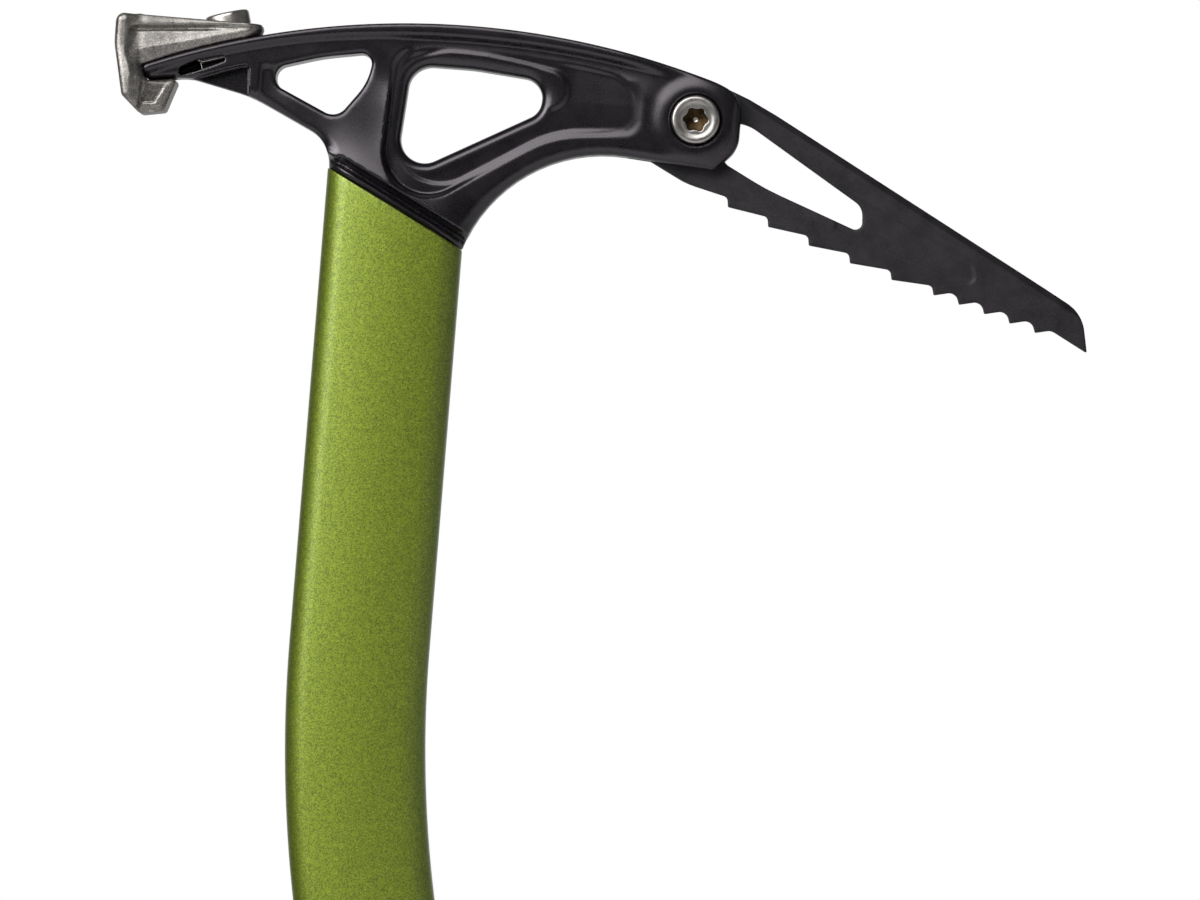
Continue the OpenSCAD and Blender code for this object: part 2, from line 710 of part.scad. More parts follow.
// Grip rest: a split ring with a finger shelf, drawn together by a cam lever
ring_z = shaft_end + rest_gap;
ring_mid = ring_z + ring_h / 2;
ring_out = ring_gap + ring_wall;
ear_x = -half_w - ring_out - 5.7;
ear_face = slit_w / 2 + ear_t;
washer_face = ear_face + washer_t;
axle_y = -washer_face - seat - cam_r - cam_offset;
lever_in = -half_t - ring_out - 0.5;
shelf_x = half_w + ring_out;
shelf_root = 8;      // how deep the shelf's root reaches into the ring
shelf_side = [
    [shelf_x - shelf_root, ring_z, 0], [shelf_x + shelf_reach - 8, ring_z, 9], [shelf_x + shelf_reach + 1, ring_z + 16, 3],
    [shelf_x + shelf_reach - 5, ring_z + 17.5, 2.5], [shelf_x + shelf_reach - 13, ring_z + 8.5, 9],
    [shelf_x + 4, ring_z + 8.5, 7], [shelf_x - 1, ring_z + ring_h, 0],
    [shelf_x - shelf_root, ring_z + ring_h, 0]];
module griprest_body() {
    color([0.2, 0.2, 0.21]) difference() {
        union() {
            straight(-ring_out, ring_z, ring_z + ring_h);
            side_extrude(2 * ear_face) outline([
                [-half_w - 1, ring_mid - ear_r, 0], [-half_w - 1, ring_mid + ear_r, 0],
                [ear_x - ear_r, ring_mid + ear_r, ear_r - 0.1], [ear_x - ear_r, ring_mid - ear_r, ear_r - 0.1]]);
            intersection() {
                side_extrude(shelf_w) outline(shelf_side);
                translate([shelf_x + shelf_reach - 32, 0, 0]) cylinder(r = 33, h = far);
            }
        }
        straight(-ring_gap, 0, far);
        translate([-far, -slit_w / 2, 0]) cube([far, slit_w, far]);
        translate([ear_x, 0, ring_mid]) across(skewer_r + fit, far);
    }
}
eye_r = axle_r + 2.4;
eye_h = 4.6;
skewer_end = ear_face + 5.5;
module clamp_skewer() {
    color("silver") translate([ear_x, 0, ring_mid]) difference() {
        union() {
            translate([0, axle_y, 0]) rotate([-90, 0, 0]) cylinder(r = skewer_r, h = skewer_end - axle_y);
            translate([0, axle_y, 0]) cylinder(r = eye_r, h = eye_h, center = true);
        }
        translate([0, axle_y, 0]) cylinder(r = axle_r + fit, h = far, center = true);
    }
}
module skewer_nut() {
    color("gray") translate([ear_x, ear_face, ring_mid]) rotate([-90, 0, 0]) difference() {
        union() {
            cylinder(r = 6, h = 1.4);
            cylinder(r = 5.2, h = 4.8, $fn = 6);
        }
        translate([0, 0, -1]) cylinder(r = skewer_r + fit, h = far);
    }
}
module cam_washer() {
    color("goldenrod") translate([ear_x, -ear_face, ring_mid]) rotate([90, 0, 0]) difference() {
        cylinder(r = 6.2, h = washer_t);
        translate([0, 0, -1]) cylinder(r = skewer_r + fit, h = far);
    }
}
lever_out = lever_in - lever_t;
lever_plan = [
    [ear_x - 1, lever_in, 0], [ear_x - 1, lever_out - 1, 3], [ear_x + 12, lever_out, 30],
    [ear_x + lever_reach - 9, lever_out, 20], [ear_x + lever_reach, lever_out - 2.6, 1.2],
    [ear_x + lever_reach, lever_in - 3.6, 1], [ear_x + lever_reach - 9, lever_in, 16]];
module cam_lever() {
    color([0.15, 0.15, 0.16]) translate([0, 0, ring_mid]) difference() {
        union() {
            translate([ear_x, axle_y + cam_offset, -lever_h / 2]) cylinder(r = cam_r, h = lever_h);
            translate([0, 0, -lever_h / 2]) linear_extrude(lever_h) outline(lever_plan);
        }
        translate([ear_x, axle_y, 0]) cylinder(r = axle_r, h = far, center = true);
        translate([ear_x, axle_y, 0]) cylinder(r = cam_r + cam_offset + 1.2, h = eye_h + 0.4, center = true);
    }
}
module lever_axle() {
    color("silver") translate([ear_x, axle_y, ring_mid]) cylinder(r = axle_r, h = lever_h, center = true);
}

head();
head_bond();
pick();
pick_bolt();
pick_nut();
hammer();
hammer_bolt();
hammer_nut();
shaft();
grip();
spike();
spike_rivet();
griprest_body();
clamp_skewer();
skewer_nut();
cam_washer();
cam_lever();
lever_axle();
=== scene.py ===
"""Looks of an ice climbing tool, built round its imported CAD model.

Lengths are in millimetres until a mesh is made.
"""

import math

import bpy
import numpy as np
from mathutils import Matrix, Vector


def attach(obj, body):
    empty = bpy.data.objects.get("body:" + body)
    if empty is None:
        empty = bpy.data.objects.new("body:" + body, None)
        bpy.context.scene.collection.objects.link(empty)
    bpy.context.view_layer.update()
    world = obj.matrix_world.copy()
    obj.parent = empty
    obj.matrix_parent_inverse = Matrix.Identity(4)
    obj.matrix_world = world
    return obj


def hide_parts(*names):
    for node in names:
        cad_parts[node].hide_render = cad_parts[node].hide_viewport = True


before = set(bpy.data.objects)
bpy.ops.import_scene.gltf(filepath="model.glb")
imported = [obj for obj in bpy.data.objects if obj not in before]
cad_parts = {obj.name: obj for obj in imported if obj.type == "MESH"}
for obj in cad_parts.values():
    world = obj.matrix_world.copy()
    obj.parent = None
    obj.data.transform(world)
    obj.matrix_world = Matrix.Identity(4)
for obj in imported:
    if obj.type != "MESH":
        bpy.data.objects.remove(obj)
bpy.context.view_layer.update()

MM = 0.001
TOOL, REST, LEVER = "tool", "griprest", "lever"

# Sizes shared with the CAD model
SHAFT_W, SHAFT_T, SHAFT_CORNER, SIDE_R, SHAFT_WALL = 35.0, 21.0, 7.0, 60.0, 1.8
HALF_W, HALF_T = SHAFT_W / 2, SHAFT_T / 2
SHAFT_END, GRIP_TOP, BEND_Z = 24.0, 182.0, 190.0
BEND_R, BEND_DEG, UPPER_LEN, RIM_DEG = 320.0, 20.0, 110.0, 27.0
TOP_R, CROWN_U, CROWN_V = 212.0, 16.0, 46.8
PICK_HALF = 2.0
BOLT_U, BOLT_V, BOLT_R, BOLT_HEAD_R, BARREL_R = 73.0, 28.0, 2.5, 6.0, 4.0
BOLT_SEAT, BOLT_FACE = 7.0, 10.2
HAMMER_BOLT_R, HAMMER_HEAD_R, HAMMER_SEAT = 3.0, 5.5, 4.0
RING_Z, RING_H, RING_GAP, RING_WALL = 27.0, 22.0, 0.3, 3.5
RING_MID = RING_Z + RING_H / 2
EAR_X, EAR_FACE, SLIT_W = -27.0, 7.2, 2.4
SKEWER_R = 2.5
AXLE_Y, CAM_R, CAM_OFFSET, AXLE_R, LEVER_H = -15.3, 5.5, 1.0, 2.0, 14.0

# The hammer's bolt, where the photograph shows it: a little further back than in the CAD model
HAMMER_BOLT_U = -43.8

# How much wider a bore is than what it holds, and the sockets of both bolts
FIT, SOCKET_W = 0.05, 6.2

RIM_SIN, RIM_COS = math.sin(math.radians(RIM_DEG)), math.cos(math.radians(RIM_DEG))
RIM_TAN = RIM_SIN / RIM_COS


def place(*steps):
    """A matrix in metres from moves in millimetres and turns in degrees."""
    total = Matrix.Identity(4)
    for kind, value in steps:
        if kind == "move":
            total = total @ Matrix.Translation(Vector(value) * MM)
        else:
            total = total @ Matrix.Rotation(math.radians(value), 4, kind)
    return total


# Frames: the head's, where the shaft's middle line meets its rim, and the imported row's own
HEAD_AT = place(("move", (BEND_R, 0, BEND_Z)), ("Y", BEND_DEG), ("move", (-BEND_R, 0, UPPER_LEN)))
ROW = Matrix.Identity(4)


def on_top(u):
    """Height of the head's arched top edge at u."""
    return CROWN_V - TOP_R + math.sqrt(TOP_R ** 2 - (u - CROWN_U) ** 2)


# Outlines
SHARP_R, STRAIGHT_DEG = 0.01, 89.5


def rounded(vertices, step=5.0):
    """Points round an outline of (x, y, corner radius), at most step degrees apart on a corner."""
    points = []
    for i, (x, y, r) in enumerate(vertices):
        a, c = (np.array(vertices[(i + k) % len(vertices)][:2], float) for k in (-1, 1))
        b = np.array((x, y), float)
        d1, d2 = (a - b) / np.linalg.norm(a - b), (c - b) / np.linalg.norm(c - b)
        half = math.acos(max(-1.0, min(1.0, float(d1 @ d2)))) / 2
        if r < SHARP_R or half > math.radians(STRAIGHT_DEG):
            points.append(b)
            continue
        mid = b + (d1 + d2) / np.linalg.norm(d1 + d2) * r / math.sin(half)
        start, stop = (b + d * r / math.tan(half) - mid for d in (d1, d2))
        a0 = math.atan2(start[1], start[0])
        sweep = (math.atan2(stop[1], stop[0]) - a0 + 3 * math.pi) % (2 * math.pi) - math.pi
        count = max(2, math.ceil(abs(math.degrees(sweep)) / step))
        for k in range(count + 1):
            angle = a0 + sweep * k / count
            points.append(mid + r * np.array((math.cos(angle), math.sin(angle))))
    return np.array(points)


# the head's side, its cut-outs, and the pocket on its rear arm
HEAD = rounded([
    (13.0, -23.2, 0), (26.5, 19.7, 38), (78.7, 15.8, 2.5), (84.3, 21.6, 7), (84.3, 34.2, 9), (70, 43.5, 0),
    (16, 52.8, 0), (-66.2, 48.8, 0), (-66.2, 32.4, 1), (-64.45, 26.65, 2.3), (-54, 28.4, 12), (-38, 25, 30),
    (-17, 15.2, 9.5), (-17.6, 0.4, 0)])
FRONT_CUTOUT = rounded([(-0.7, 7.2, 6), (34.2, 26.6, 4.8), (34.9, 34.6, 5), (17, 36.1, 40), (1.4, 36, 6)])
REAR_CUTOUT = rounded([
    (-16.2, 21.1, 4), (-9.3, 30.5, 15), (-8, 38.4, 2.6), (-21, 36.1, 50), (-38, 30.9, 3.2)])
REAR_POCKET = rounded([(-38.2, 20, 0), (-39, 32.9, 1), (-44.2, 31.5, 8), (-53, 28.2, 0), (-53, 20, 0)])
# the pick's slot and panel, and two points on its top edge
PICK_SLOT = rounded([
    (80.5, 18.3, 3), (92, 12.4, 60), (116.9, 3.3, 1.8), (116.4, 9.9, 4), (86.5, 28, 10), (81.5, 28.4, 2.5)])
PICK_PANEL = rounded([(110, 3.9, 0), (146.4, -7.9, 1.6), (144.8, -1.8, 2), (110, 14.4, 0)])
PICK_BACK, PICK_NOSE = (86.4, 34.6), (173.2, -11.9)


def pick_outline():
    """The pick's side: a tang, six long teeth, four short ones, and the point."""
    long_teeth, teeth, long_pitch, short_pitch = 6, 10, 11.2, 6.75
    first_turn, turn_step = -21.5, 1.45
    tip = np.array((82.9, 7.2))
    run = [(57.1, 21, 1.5), (61.5, 17.5, 0), (72, 12.2, 20)]
    for i in range(teeth):
        turn = math.radians(first_turn + turn_step * min(max(i - 1, 0), long_teeth - 2))
        along, up = np.array((math.cos(turn), math.sin(turn))), np.array((-math.sin(turn), math.cos(turn)))
        is_long = i < long_teeth
        if i:
            tip = tip + (long_pitch if is_long else short_pitch) * along
        back, deep, r = (1.2, 2.15, 1.3) if is_long else (1.8, 2.7, 2.2)
        gullet = tip - back * along + deep * up
        run += [(gullet[0], gullet[1], r), (tip[0], tip[1], 0)]
    point = tip + np.array((13.3, -4.0))
    run += [(tip[0] + 4, tip[1] + 0.9, 2.5), (point[0], point[1], 0), (point[0] - 2, point[1] + 10.1, 10),
            (*PICK_BACK, 90), (77.7, on_top(77.7) - 0.1, 0), (57.1, on_top(57) - 0.4, 1.5)]
    return rounded(run)


PICK = pick_outline()

# the hammer's top, its block, foot and jaw from the side, and the whole from above
HAMMER_V = 43.0
BLOCK = rounded([
    (-66.5, 32.2, 0.5), (-66.5, HAMMER_V, 0), (-72.9, HAMMER_V, 2.2), (-72.8, 35.5, 12), (-69.9, 22.6, 1.5),
    (-65.2, 18.4, 1.5), (-59.2, 19.5, 1), (-56.4, 27.7, 0.8), (-64.5, 26.6, 2.3)])
FOOT = rounded([(-67.5, 26, 0), (-34.8, 26, 0), (-36, HAMMER_V, 1.4), (-67.5, HAMMER_V, 0)])
HAMMER_PLAN = rounded([
    (-74, -9.5, 0), (-71, -12, 2), (-68, -12, 1), (-64.5, -9.5, 2), (-56.5, -8.5, 6), (-36, -8.5, 5),
    (-36, 8.5, 5), (-56.5, 8.5, 6), (-64.5, 9.5, 2), (-68, 12, 1), (-71, 12, 2), (-74, 9.5, 0)])
JAW_PANEL = rounded([(-65.1, 21.2, 0.6), (-61.7, 21.4, 0.6), (-58, 28.5, 0), (-63.4, 28.5, 0)])

# the spike from two sides, and the grip rest and its lever
SPIKE_SIDE = rounded([
    (-17.5, 18, 0), (-16, -2, 16), (0.5, -42, 0.8), (4.5, -42, 0.8), (16.3, -2, 16), (17.5, 18, 0)])
SPIKE_FRONT = rounded([
    (-10.5, 18, 0), (-10.5, 17, 0), (-3.5, 11.5, 5), (-3.5, -28, 20), (-0.8, -43, 0), (0.8, -43, 0),
    (3.5, -28, 20), (3.5, 11.5, 5), (10.5, 17, 0), (10.5, 18, 0)])
SHELF_X, SHELF_REACH = 21.3, 29.0
SHELF = rounded([
    (SHELF_X - 8, 27, 0), (SHELF_X + 21, 27, 9), (SHELF_X + 30, 43, 3), (SHELF_X + 24, 44.5, 2.5),
    (SHELF_X + 16, 35.5, 9), (SHELF_X + 4, 35.5, 7), (SHELF_X - 1, 49, 0), (SHELF_X - 8, 49, 0)])
EARS = rounded([(-18.5, 31, 0), (-18.5, 45, 0), (-34, 45, 6.9), (-34, 31, 6.9)])
LEVER_IN, LEVER_OUT = -14.8, -18.8
LEVER_PLAN = rounded([
    (-28, LEVER_IN, 0), (-28, LEVER_OUT - 1, 3), (-15, LEVER_OUT, 30), (6, LEVER_OUT, 20),
    (15, LEVER_OUT - 2.6, 1.2), (15, LEVER_IN - 3.6, 1), (6, LEVER_IN, 16)])


# Distance fields, negative inside
FAR = 1e9


def polygon_field(points, x, y):
    """Distance to a closed outline."""
    x, y = np.broadcast_arrays(x, y)
    nearest = np.full(x.shape, FAR, np.float32)
    inside = np.zeros(x.shape, bool)
    for (ax, ay), (bx, by) in zip(points, np.roll(points, -1, 0)):
        ex, ey = bx - ax, by - ay
        if ex * ex + ey * ey < 1e-10:
            continue
        t = np.clip(((x - ax) * ex + (y - ay) * ey) / (ex * ex + ey * ey), 0, 1)
        np.minimum(nearest, (x - ax - t * ex) ** 2 + (y - ay - t * ey) ** 2, out=nearest)
        if abs(ey) > 1e-9:
            inside ^= ((ay > y) != (by > y)) & (x < ax + (y - ay) * (ex / ey))
    distance = np.sqrt(nearest)
    return np.where(inside, -distance, distance)


def soft_max(a, b, k):
    """The greater of two fields, with the corner between them rounded over a width of k."""
    h = np.maximum(k - np.abs(a - b), 0) / k
    return np.maximum(a, b) + h * h * k / 4


def soft_min(a, b, k):
    """The lesser of two fields, rounded in the same way."""
    return -soft_max(-a, -b, k)


def ramp(x, a, b):
    """0 at a and before, 1 at b and after, with a smooth rise between."""
    t = np.clip((x - a) / (b - a), 0, 1)
    return t * t * (3 - 2 * t)


def slab(v, low, high):
    """Distance to the space between two planes."""
    return np.maximum(low - v, v - high)


def hexagon(x, y, across):
    """Distance to a hexagon, from its width across flats."""
    flats = [np.abs(x * math.cos(a) + y * math.sin(a)) for a in (math.pi / 6, math.pi / 2, 5 * math.pi / 6)]
    return np.maximum(np.maximum(flats[0], flats[1]), flats[2]) - across / 2


def six_lobe(x, y, width):
    """Distance to a socket with six round lobes round a core."""
    lobe, core, blend = width * 0.14, width * 0.42, 0.25
    field = np.hypot(x, y) - core
    for i in range(6):
        a = math.radians(60 * i)
        cx, cy = (width / 2 - lobe) * math.cos(a), (width / 2 - lobe) * math.sin(a)
        field = soft_min(field, np.hypot(x - cx, y - cy) - lobe, blend)
    return field


# The shaft's section: crowned sides, flat front and back, round corners about a middle at CORNER_X, CORNER_Y
SIDE_MID = SIDE_R - HALF_T
CORNER_X = HALF_W - SHAFT_CORNER
CORNER_Y = math.sqrt((SIDE_R - SHAFT_CORNER) ** 2 - CORNER_X ** 2) - SIDE_MID


def section_loop(count=40):
    """Points round the section and their outward normals."""
    lean = math.atan2(CORNER_X, CORNER_Y + SIDE_MID)
    quarter = []
    for k in range(4):
        quarter.append(((HALF_W, CORNER_Y * k / 4), (1.0, 0.0)))
    for k in range(count):
        a = (math.pi / 2 - lean) * k / count
        n = (math.cos(a), math.sin(a))
        quarter.append(((CORNER_X + SHAFT_CORNER * n[0], CORNER_Y + SHAFT_CORNER * n[1]), n))
    for k in range(count + 1):
        a = math.pi / 2 - lean * (1 - k / count)
        n = (math.cos(a), math.sin(a))
        quarter.append(((SIDE_R * n[0], SIDE_R * n[1] - SIDE_MID), n))
    loop = list(quarter)
    loop += [((-p[0], p[1]), (-n[0], n[1])) for p, n in reversed(quarter[1:-1])]
    loop.append(((-HALF_W, 0.0), (-1.0, 0.0)))
    loop += [((-p[0], -p[1]), (-n[0], -n[1])) for p, n in quarter[1:]]
    loop += [((p[0], -p[1]), (n[0], -n[1])) for p, n in reversed(quarter[1:-1])]
    return np.array([p for p, _ in loop]), np.array([n for _, n in loop])


SECTION, SECTION_OUT = section_loop()


def section_field(x, y):
    """Distance to the section, from every third of its points."""
    return polygon_field(SECTION[::3], x, y)


def section_half(u):
    """Half thickness of the shaft's section at a depth u from its middle."""
    crown = np.sqrt(np.maximum(SIDE_R ** 2 - u * u, 0)) - SIDE_MID
    beyond = np.maximum(np.abs(u) - CORNER_X, 0)
    corner = CORNER_Y + np.sqrt(np.maximum(SHAFT_CORNER ** 2 - beyond ** 2, 0))
    return np.minimum(crown, corner)


# Meshes
def skin(field, low, step):
    """Vertices and quads round the places where the field is negative.

    Each cell that the surface crosses has one vertex, which is then pulled onto the surface.
    """
    pulls, probe, longest_pull = 3, 0.5, 0.3
    low = np.array(low, np.float32)
    inside = field < 0
    corners = [np.array((i, j, k)) for i in (0, 1) for j in (0, 1) for k in (0, 1)]
    count = np.zeros(np.array(field.shape) - 1, np.int8)
    for c in corners:
        count += inside[tuple(slice(c[d], inside.shape[d] - 1 + c[d]) for d in range(3))]
    cells = np.argwhere((count > 0) & (count < 8))
    index = np.full(count.shape, -1, np.int32)
    index[tuple(cells.T)] = np.arange(len(cells))
    total, hits = np.zeros((len(cells), 3), np.float32), np.zeros(len(cells), np.float32)
    for c0 in corners:
        for axis in range(3):
            if c0[axis]:
                continue
            c1 = c0 + np.eye(3, dtype=int)[axis]
            f0, f1 = field[tuple((cells + c0).T)], field[tuple((cells + c1).T)]
            cross = (f0 < 0) != (f1 < 0)
            t = np.where(cross, f0 / np.where(cross, f0 - f1, 1), 0)
            total += np.where(cross[:, None], c0 + t[:, None] * (c1 - c0), 0)
            hits += cross
    points = cells + total / hits[:, None]

    def sample(p):
        p = np.clip(p, 0, np.array(field.shape) - 1.001)
        base = p.astype(np.int32)
        w = p - base
        value = np.zeros(len(p), np.float32)
        for c in corners:
            part = np.prod(np.where(c, w, 1 - w), axis=1)
            value += part * field[tuple((base + c).T)]
        return value

    for _ in range(pulls):
        slope = np.stack([sample(points + d) - sample(points - d) for d in np.eye(3) * probe], 1)
        move = -sample(points)[:, None] * slope / np.maximum((slope ** 2).sum(1), 1e-6)[:, None]
        far = np.linalg.norm(move, axis=1, keepdims=True)
        points = points + move * np.minimum(1, longest_pull / np.maximum(far, 1e-6))
    quads = []
    for axis in range(3):
        a1, a2 = (axis + 1) % 3, (axis + 2) % 3
        here = [slice(None)] * 3
        there = [slice(None)] * 3
        here[axis], there[axis] = slice(0, -1), slice(1, None)
        e = np.argwhere(inside[tuple(here)] != inside[tuple(there)])
        e = e[(e[:, a1] > 0) & (e[:, a2] > 0)
              & (e[:, a1] < field.shape[a1] - 1) & (e[:, a2] < field.shape[a2] - 1)]
        s1, s2 = np.eye(3, dtype=int)[a1], np.eye(3, dtype=int)[a2]
        quad = np.stack([index[tuple((e - s).T)] for s in (s1 + s2, s2, 0 * s1, s1)], 1)
        outward = inside[tuple(e.T)]
        quads.append(np.where(outward[:, None], quad, quad[:, ::-1]))
    return low + step * points, np.concatenate(quads)


def make_mesh(name, points, quads, at, finish, body, *nodes):
    """A piece from points in millimetres in the frame at, riding on a body and standing for CAD nodes."""
    loops = quads.ravel().astype(np.int32)
    mesh = bpy.data.meshes.new(name)
    mesh.vertices.add(len(points))
    mesh.vertices.foreach_set("co", (np.asarray(points, np.float32) * MM).ravel())
    mesh.loops.add(len(loops))
    mesh.loops.foreach_set("vertex_index", loops)
    mesh.polygons.add(len(quads))
    mesh.polygons.foreach_set("loop_start", np.arange(0, len(loops), 4, dtype=np.int32))
    mesh.update(calc_edges=True)
    mesh.validate()
    mesh.shade_smooth()
    mesh.materials.append(finish)
    piece = bpy.data.objects.new(name, mesh)
    bpy.context.scene.collection.objects.link(piece)
    piece.matrix_world = at
    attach(piece, body)
    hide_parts(*nodes)
    return piece


def solid(name, field, low, high, step, at, finish, body, *nodes, own_frame=True):
    """A piece from a field in the frame at. Without own_frame its points are kept in the row's frame."""
    axes = [np.arange(a - step, b + 2 * step, step, dtype=np.float32) for a, b in zip(low, high)]
    x, y, z = np.meshgrid(*axes, indexing="ij", sparse=True)
    values = np.broadcast_to(field(x, y, z), [len(a) for a in axes]).astype(np.float32)
    points, quads = skin(values, [a[0] for a in axes], step)
    if not own_frame:
        turn = np.array(at)
        points, at = points @ turn[:3, :3].T + turn[:3, 3] / MM, ROW
    return make_mesh(name, points, quads, at, finish, body, *nodes)


def loft(name, rings, at, finish, body, *nodes):
    """A closed skin through rings of points, each with the same count; the last ring joins the first."""
    rings = np.array(rings)
    rows, count = rings.shape[:2]
    i, j = np.meshgrid(np.arange(rows), np.arange(count), indexing="ij")
    up, k = (i + 1) % rows, (j + 1) % count
    quads = np.stack([i * count + j, i * count + k, up * count + k, up * count + j], -1).reshape(-1, 4)
    return make_mesh(name, rings.reshape(-1, 3), quads, at, finish, body, *nodes)


# Materials
class Nodes:
    """A short way to add shader nodes to one tree."""

    def __init__(self, tree):
        self.tree = tree

    def add(self, kind, **settings):
        """A node with its inputs or properties set."""
        node = self.tree.nodes.new(kind)
        for key, value in settings.items():
            if key in node.inputs:
                node.inputs[key].default_value = value
            else:
                setattr(node, key, value)
        return node

    def link(self, out, into):
        self.tree.links.new(out, into)

    def noise(self, vector, size_mm, detail=3.0, rough=0.55):
        node = self.add("ShaderNodeTexNoise", Scale=1 / (size_mm * MM), Detail=detail, Roughness=rough)
        self.link(vector, node.inputs["Vector"])
        return node.outputs["Fac"]

    def ramp(self, value, *stops):
        node = self.add("ShaderNodeValToRGB")
        ends = node.color_ramp.elements
        while len(ends) < len(stops):
            ends.new(0.5)
        for end, (at, colour) in zip(ends, stops):
            end.position = at
            end.color = (*colour, 1)
        self.link(value, node.inputs["Fac"])
        return node.outputs["Color"]

    def range(self, value, a, b, c, d):
        node = self.add("ShaderNodeMapRange")
        for key, number in zip(("From Min", "From Max", "To Min", "To Max"), (a, b, c, d)):
            node.inputs[key].default_value = number
        self.link(value, node.inputs["Value"])
        return node.outputs["Result"]

    def math(self, kind, a, b):
        node = self.add("ShaderNodeMath", operation=kind)
        for socket, value in zip(node.inputs, (a, b)):
            if isinstance(value, (int, float)):
                socket.default_value = value
            else:
                self.link(value, socket)
        return node.outputs["Value"]

    def blend(self, a, b, share):
        """a by its share and b by the rest."""
        return self.math("ADD", self.math("MULTIPLY", a, share), self.math("MULTIPLY", b, 1 - share))

    def mix(self, factor, a, b):
        node = self.add("ShaderNodeMix", data_type="RGBA")
        for key, value in (("Factor_Float", factor), ("A_Color", a), ("B_Color", b)):
            socket = next(s for s in node.inputs if s.identifier == key)
            if isinstance(value, (int, float)):
                socket.default_value = value
            elif isinstance(value, tuple):
                socket.default_value = (*value, 1)
            else:
                self.link(value, socket)
        return next(s for s in node.outputs if s.identifier == "Result_Color")

    def bump(self, height, depth_mm, strength, after=None):
        node = self.add("ShaderNodeBump", Strength=strength, Distance=depth_mm * MM)
        self.link(height, node.inputs["Height"])
        if after is not None:
            self.link(after, node.inputs["Normal"])
        return node.outputs["Normal"]


def new_material(name, metallic, specular, tint=(1, 1, 1, 1)):
    material = bpy.data.materials.new("look_" + name)
    material["slot"] = name
    material.use_nodes = True
    shader = material.node_tree.nodes["Principled BSDF"]
    shader.inputs["Metallic"].default_value = metallic
    shader.inputs["Specular IOR Level"].default_value = specular
    shader.inputs["Specular Tint"].default_value = tint
    return material, shader, Nodes(material.node_tree)


def surface(name, dark, light, mottle, rough, grain, depth, metallic=0.0, specular=0.5, edge_wear_and_sheen=None,
            wear_and_sheen_range=(0.53, 0.62), tint=(1, 1, 1, 1), blotch=0.6):
    """A finish with soft mottling, a fine grain that also breaks up the gloss, and lighter edges that are
    partly abrasion and partly a painted highlight.

    mottle and grain are sizes, depth is the grain's, and blotch is the mottling's share of the colour.
    """
    material, shader, n = new_material(name, metallic, specular, tint)
    where = n.add("ShaderNodeTexCoord").outputs["Object"]
    broad = n.noise(where, mottle)
    fine = n.noise(where, grain, 2.0)
    colour = n.ramp(n.blend(broad, fine, blotch), (0.36, dark), (0.66, light))
    if edge_wear_and_sheen:
        # edges found by pointiness are painted lighter: partly abrasion, partly a painted highlight where
        # edges catch the light
        edge = n.add("ShaderNodeNewGeometry").outputs["Pointiness"]
        rubbed_and_sheen = n.math("MULTIPLY", n.range(edge, wear_and_sheen_range[0], wear_and_sheen_range[1], 0, 1), n.range(broad, 0.35, 0.6, 0.25, 1))
        colour = n.mix(rubbed_and_sheen, colour, edge_wear_and_sheen)
    n.link(colour, shader.inputs["Base Color"])
    n.link(n.range(n.blend(broad, fine, 0.5), 0.3, 0.7, *rough), shader.inputs["Roughness"])
    n.link(n.bump(fine, depth, 0.6, n.bump(broad, depth * 2, 0.15)), shader.inputs["Normal"])
    return material


def flake_paint(name, deep, pale, flake):
    """Anodised colour over a blasted surface: tiny bright facets in a satin metal."""
    cell_size, grain_size, mottle = 0.25, 0.3, 14.0
    material, shader, n = new_material(name, 1.0, 0.5)
    shader.inputs["Coat Weight"].default_value = 1.0
    shader.inputs["Coat Roughness"].default_value = 0.4
    where = n.add("ShaderNodeTexCoord").outputs["Object"]
    cells = n.add("ShaderNodeTexVoronoi", Scale=1 / (cell_size * MM))
    n.link(where, cells.inputs["Vector"])
    sparkle = n.add("ShaderNodeSeparateColor")
    n.link(cells.outputs["Color"], sparkle.inputs["Color"])
    grain = n.noise(where, grain_size, 2.0)
    broad = n.noise(where, mottle)
    tone = n.blend(grain, sparkle.outputs["Red"], 0.6)
    colour = n.ramp(tone, (0.28, deep), (0.7, pale))
    colour = n.mix(n.range(sparkle.outputs["Green"], 0.95, 1.0, 0, 0.5), colour, flake)
    n.link(colour, shader.inputs["Base Color"])
    n.link(n.range(n.math("ADD", grain, n.math("MULTIPLY", broad, 0.4)), 0.4, 1.0, 0.5, 0.62),
           shader.inputs["Roughness"])
    n.link(n.bump(grain, 0.05, 0.5, n.bump(sparkle.outputs["Blue"], 0.03, 0.35)), shader.inputs["Normal"])
    return material


def turned_steel(name, dark, light, axis, rough=(0.28, 0.44)):
    """Steel with fine rings about an axis of the piece's own frame, as a lathe leaves it."""
    ring_size, mottle = 0.16, 2.2
    material, shader, n = new_material(name, 1.0, 0.5)
    where = n.add("ShaderNodeTexCoord").outputs["Object"]
    flat = n.add("ShaderNodeVectorMath", operation="MULTIPLY")
    n.link(where, flat.inputs[0])
    flat.inputs[1].default_value = [0 if axis == i else 1 for i in range(3)]
    far = n.add("ShaderNodeVectorMath", operation="LENGTH")
    n.link(flat.outputs["Vector"], far.inputs[0])
    radius = n.add("ShaderNodeCombineXYZ")
    n.link(far.outputs["Value"], radius.inputs["X"])
    rings = n.noise(radius.outputs["Vector"], ring_size, 2.0)
    broad = n.noise(where, mottle)
    colour = n.ramp(n.blend(rings, broad, 0.5), (0.35, dark), (0.65, light))
    n.link(colour, shader.inputs["Base Color"])
    n.link(n.range(n.blend(rings, broad, 0.4), 0.3, 0.7, *rough), shader.inputs["Roughness"])
    n.link(n.bump(rings, 0.012, 0.4), shader.inputs["Normal"])
    return material
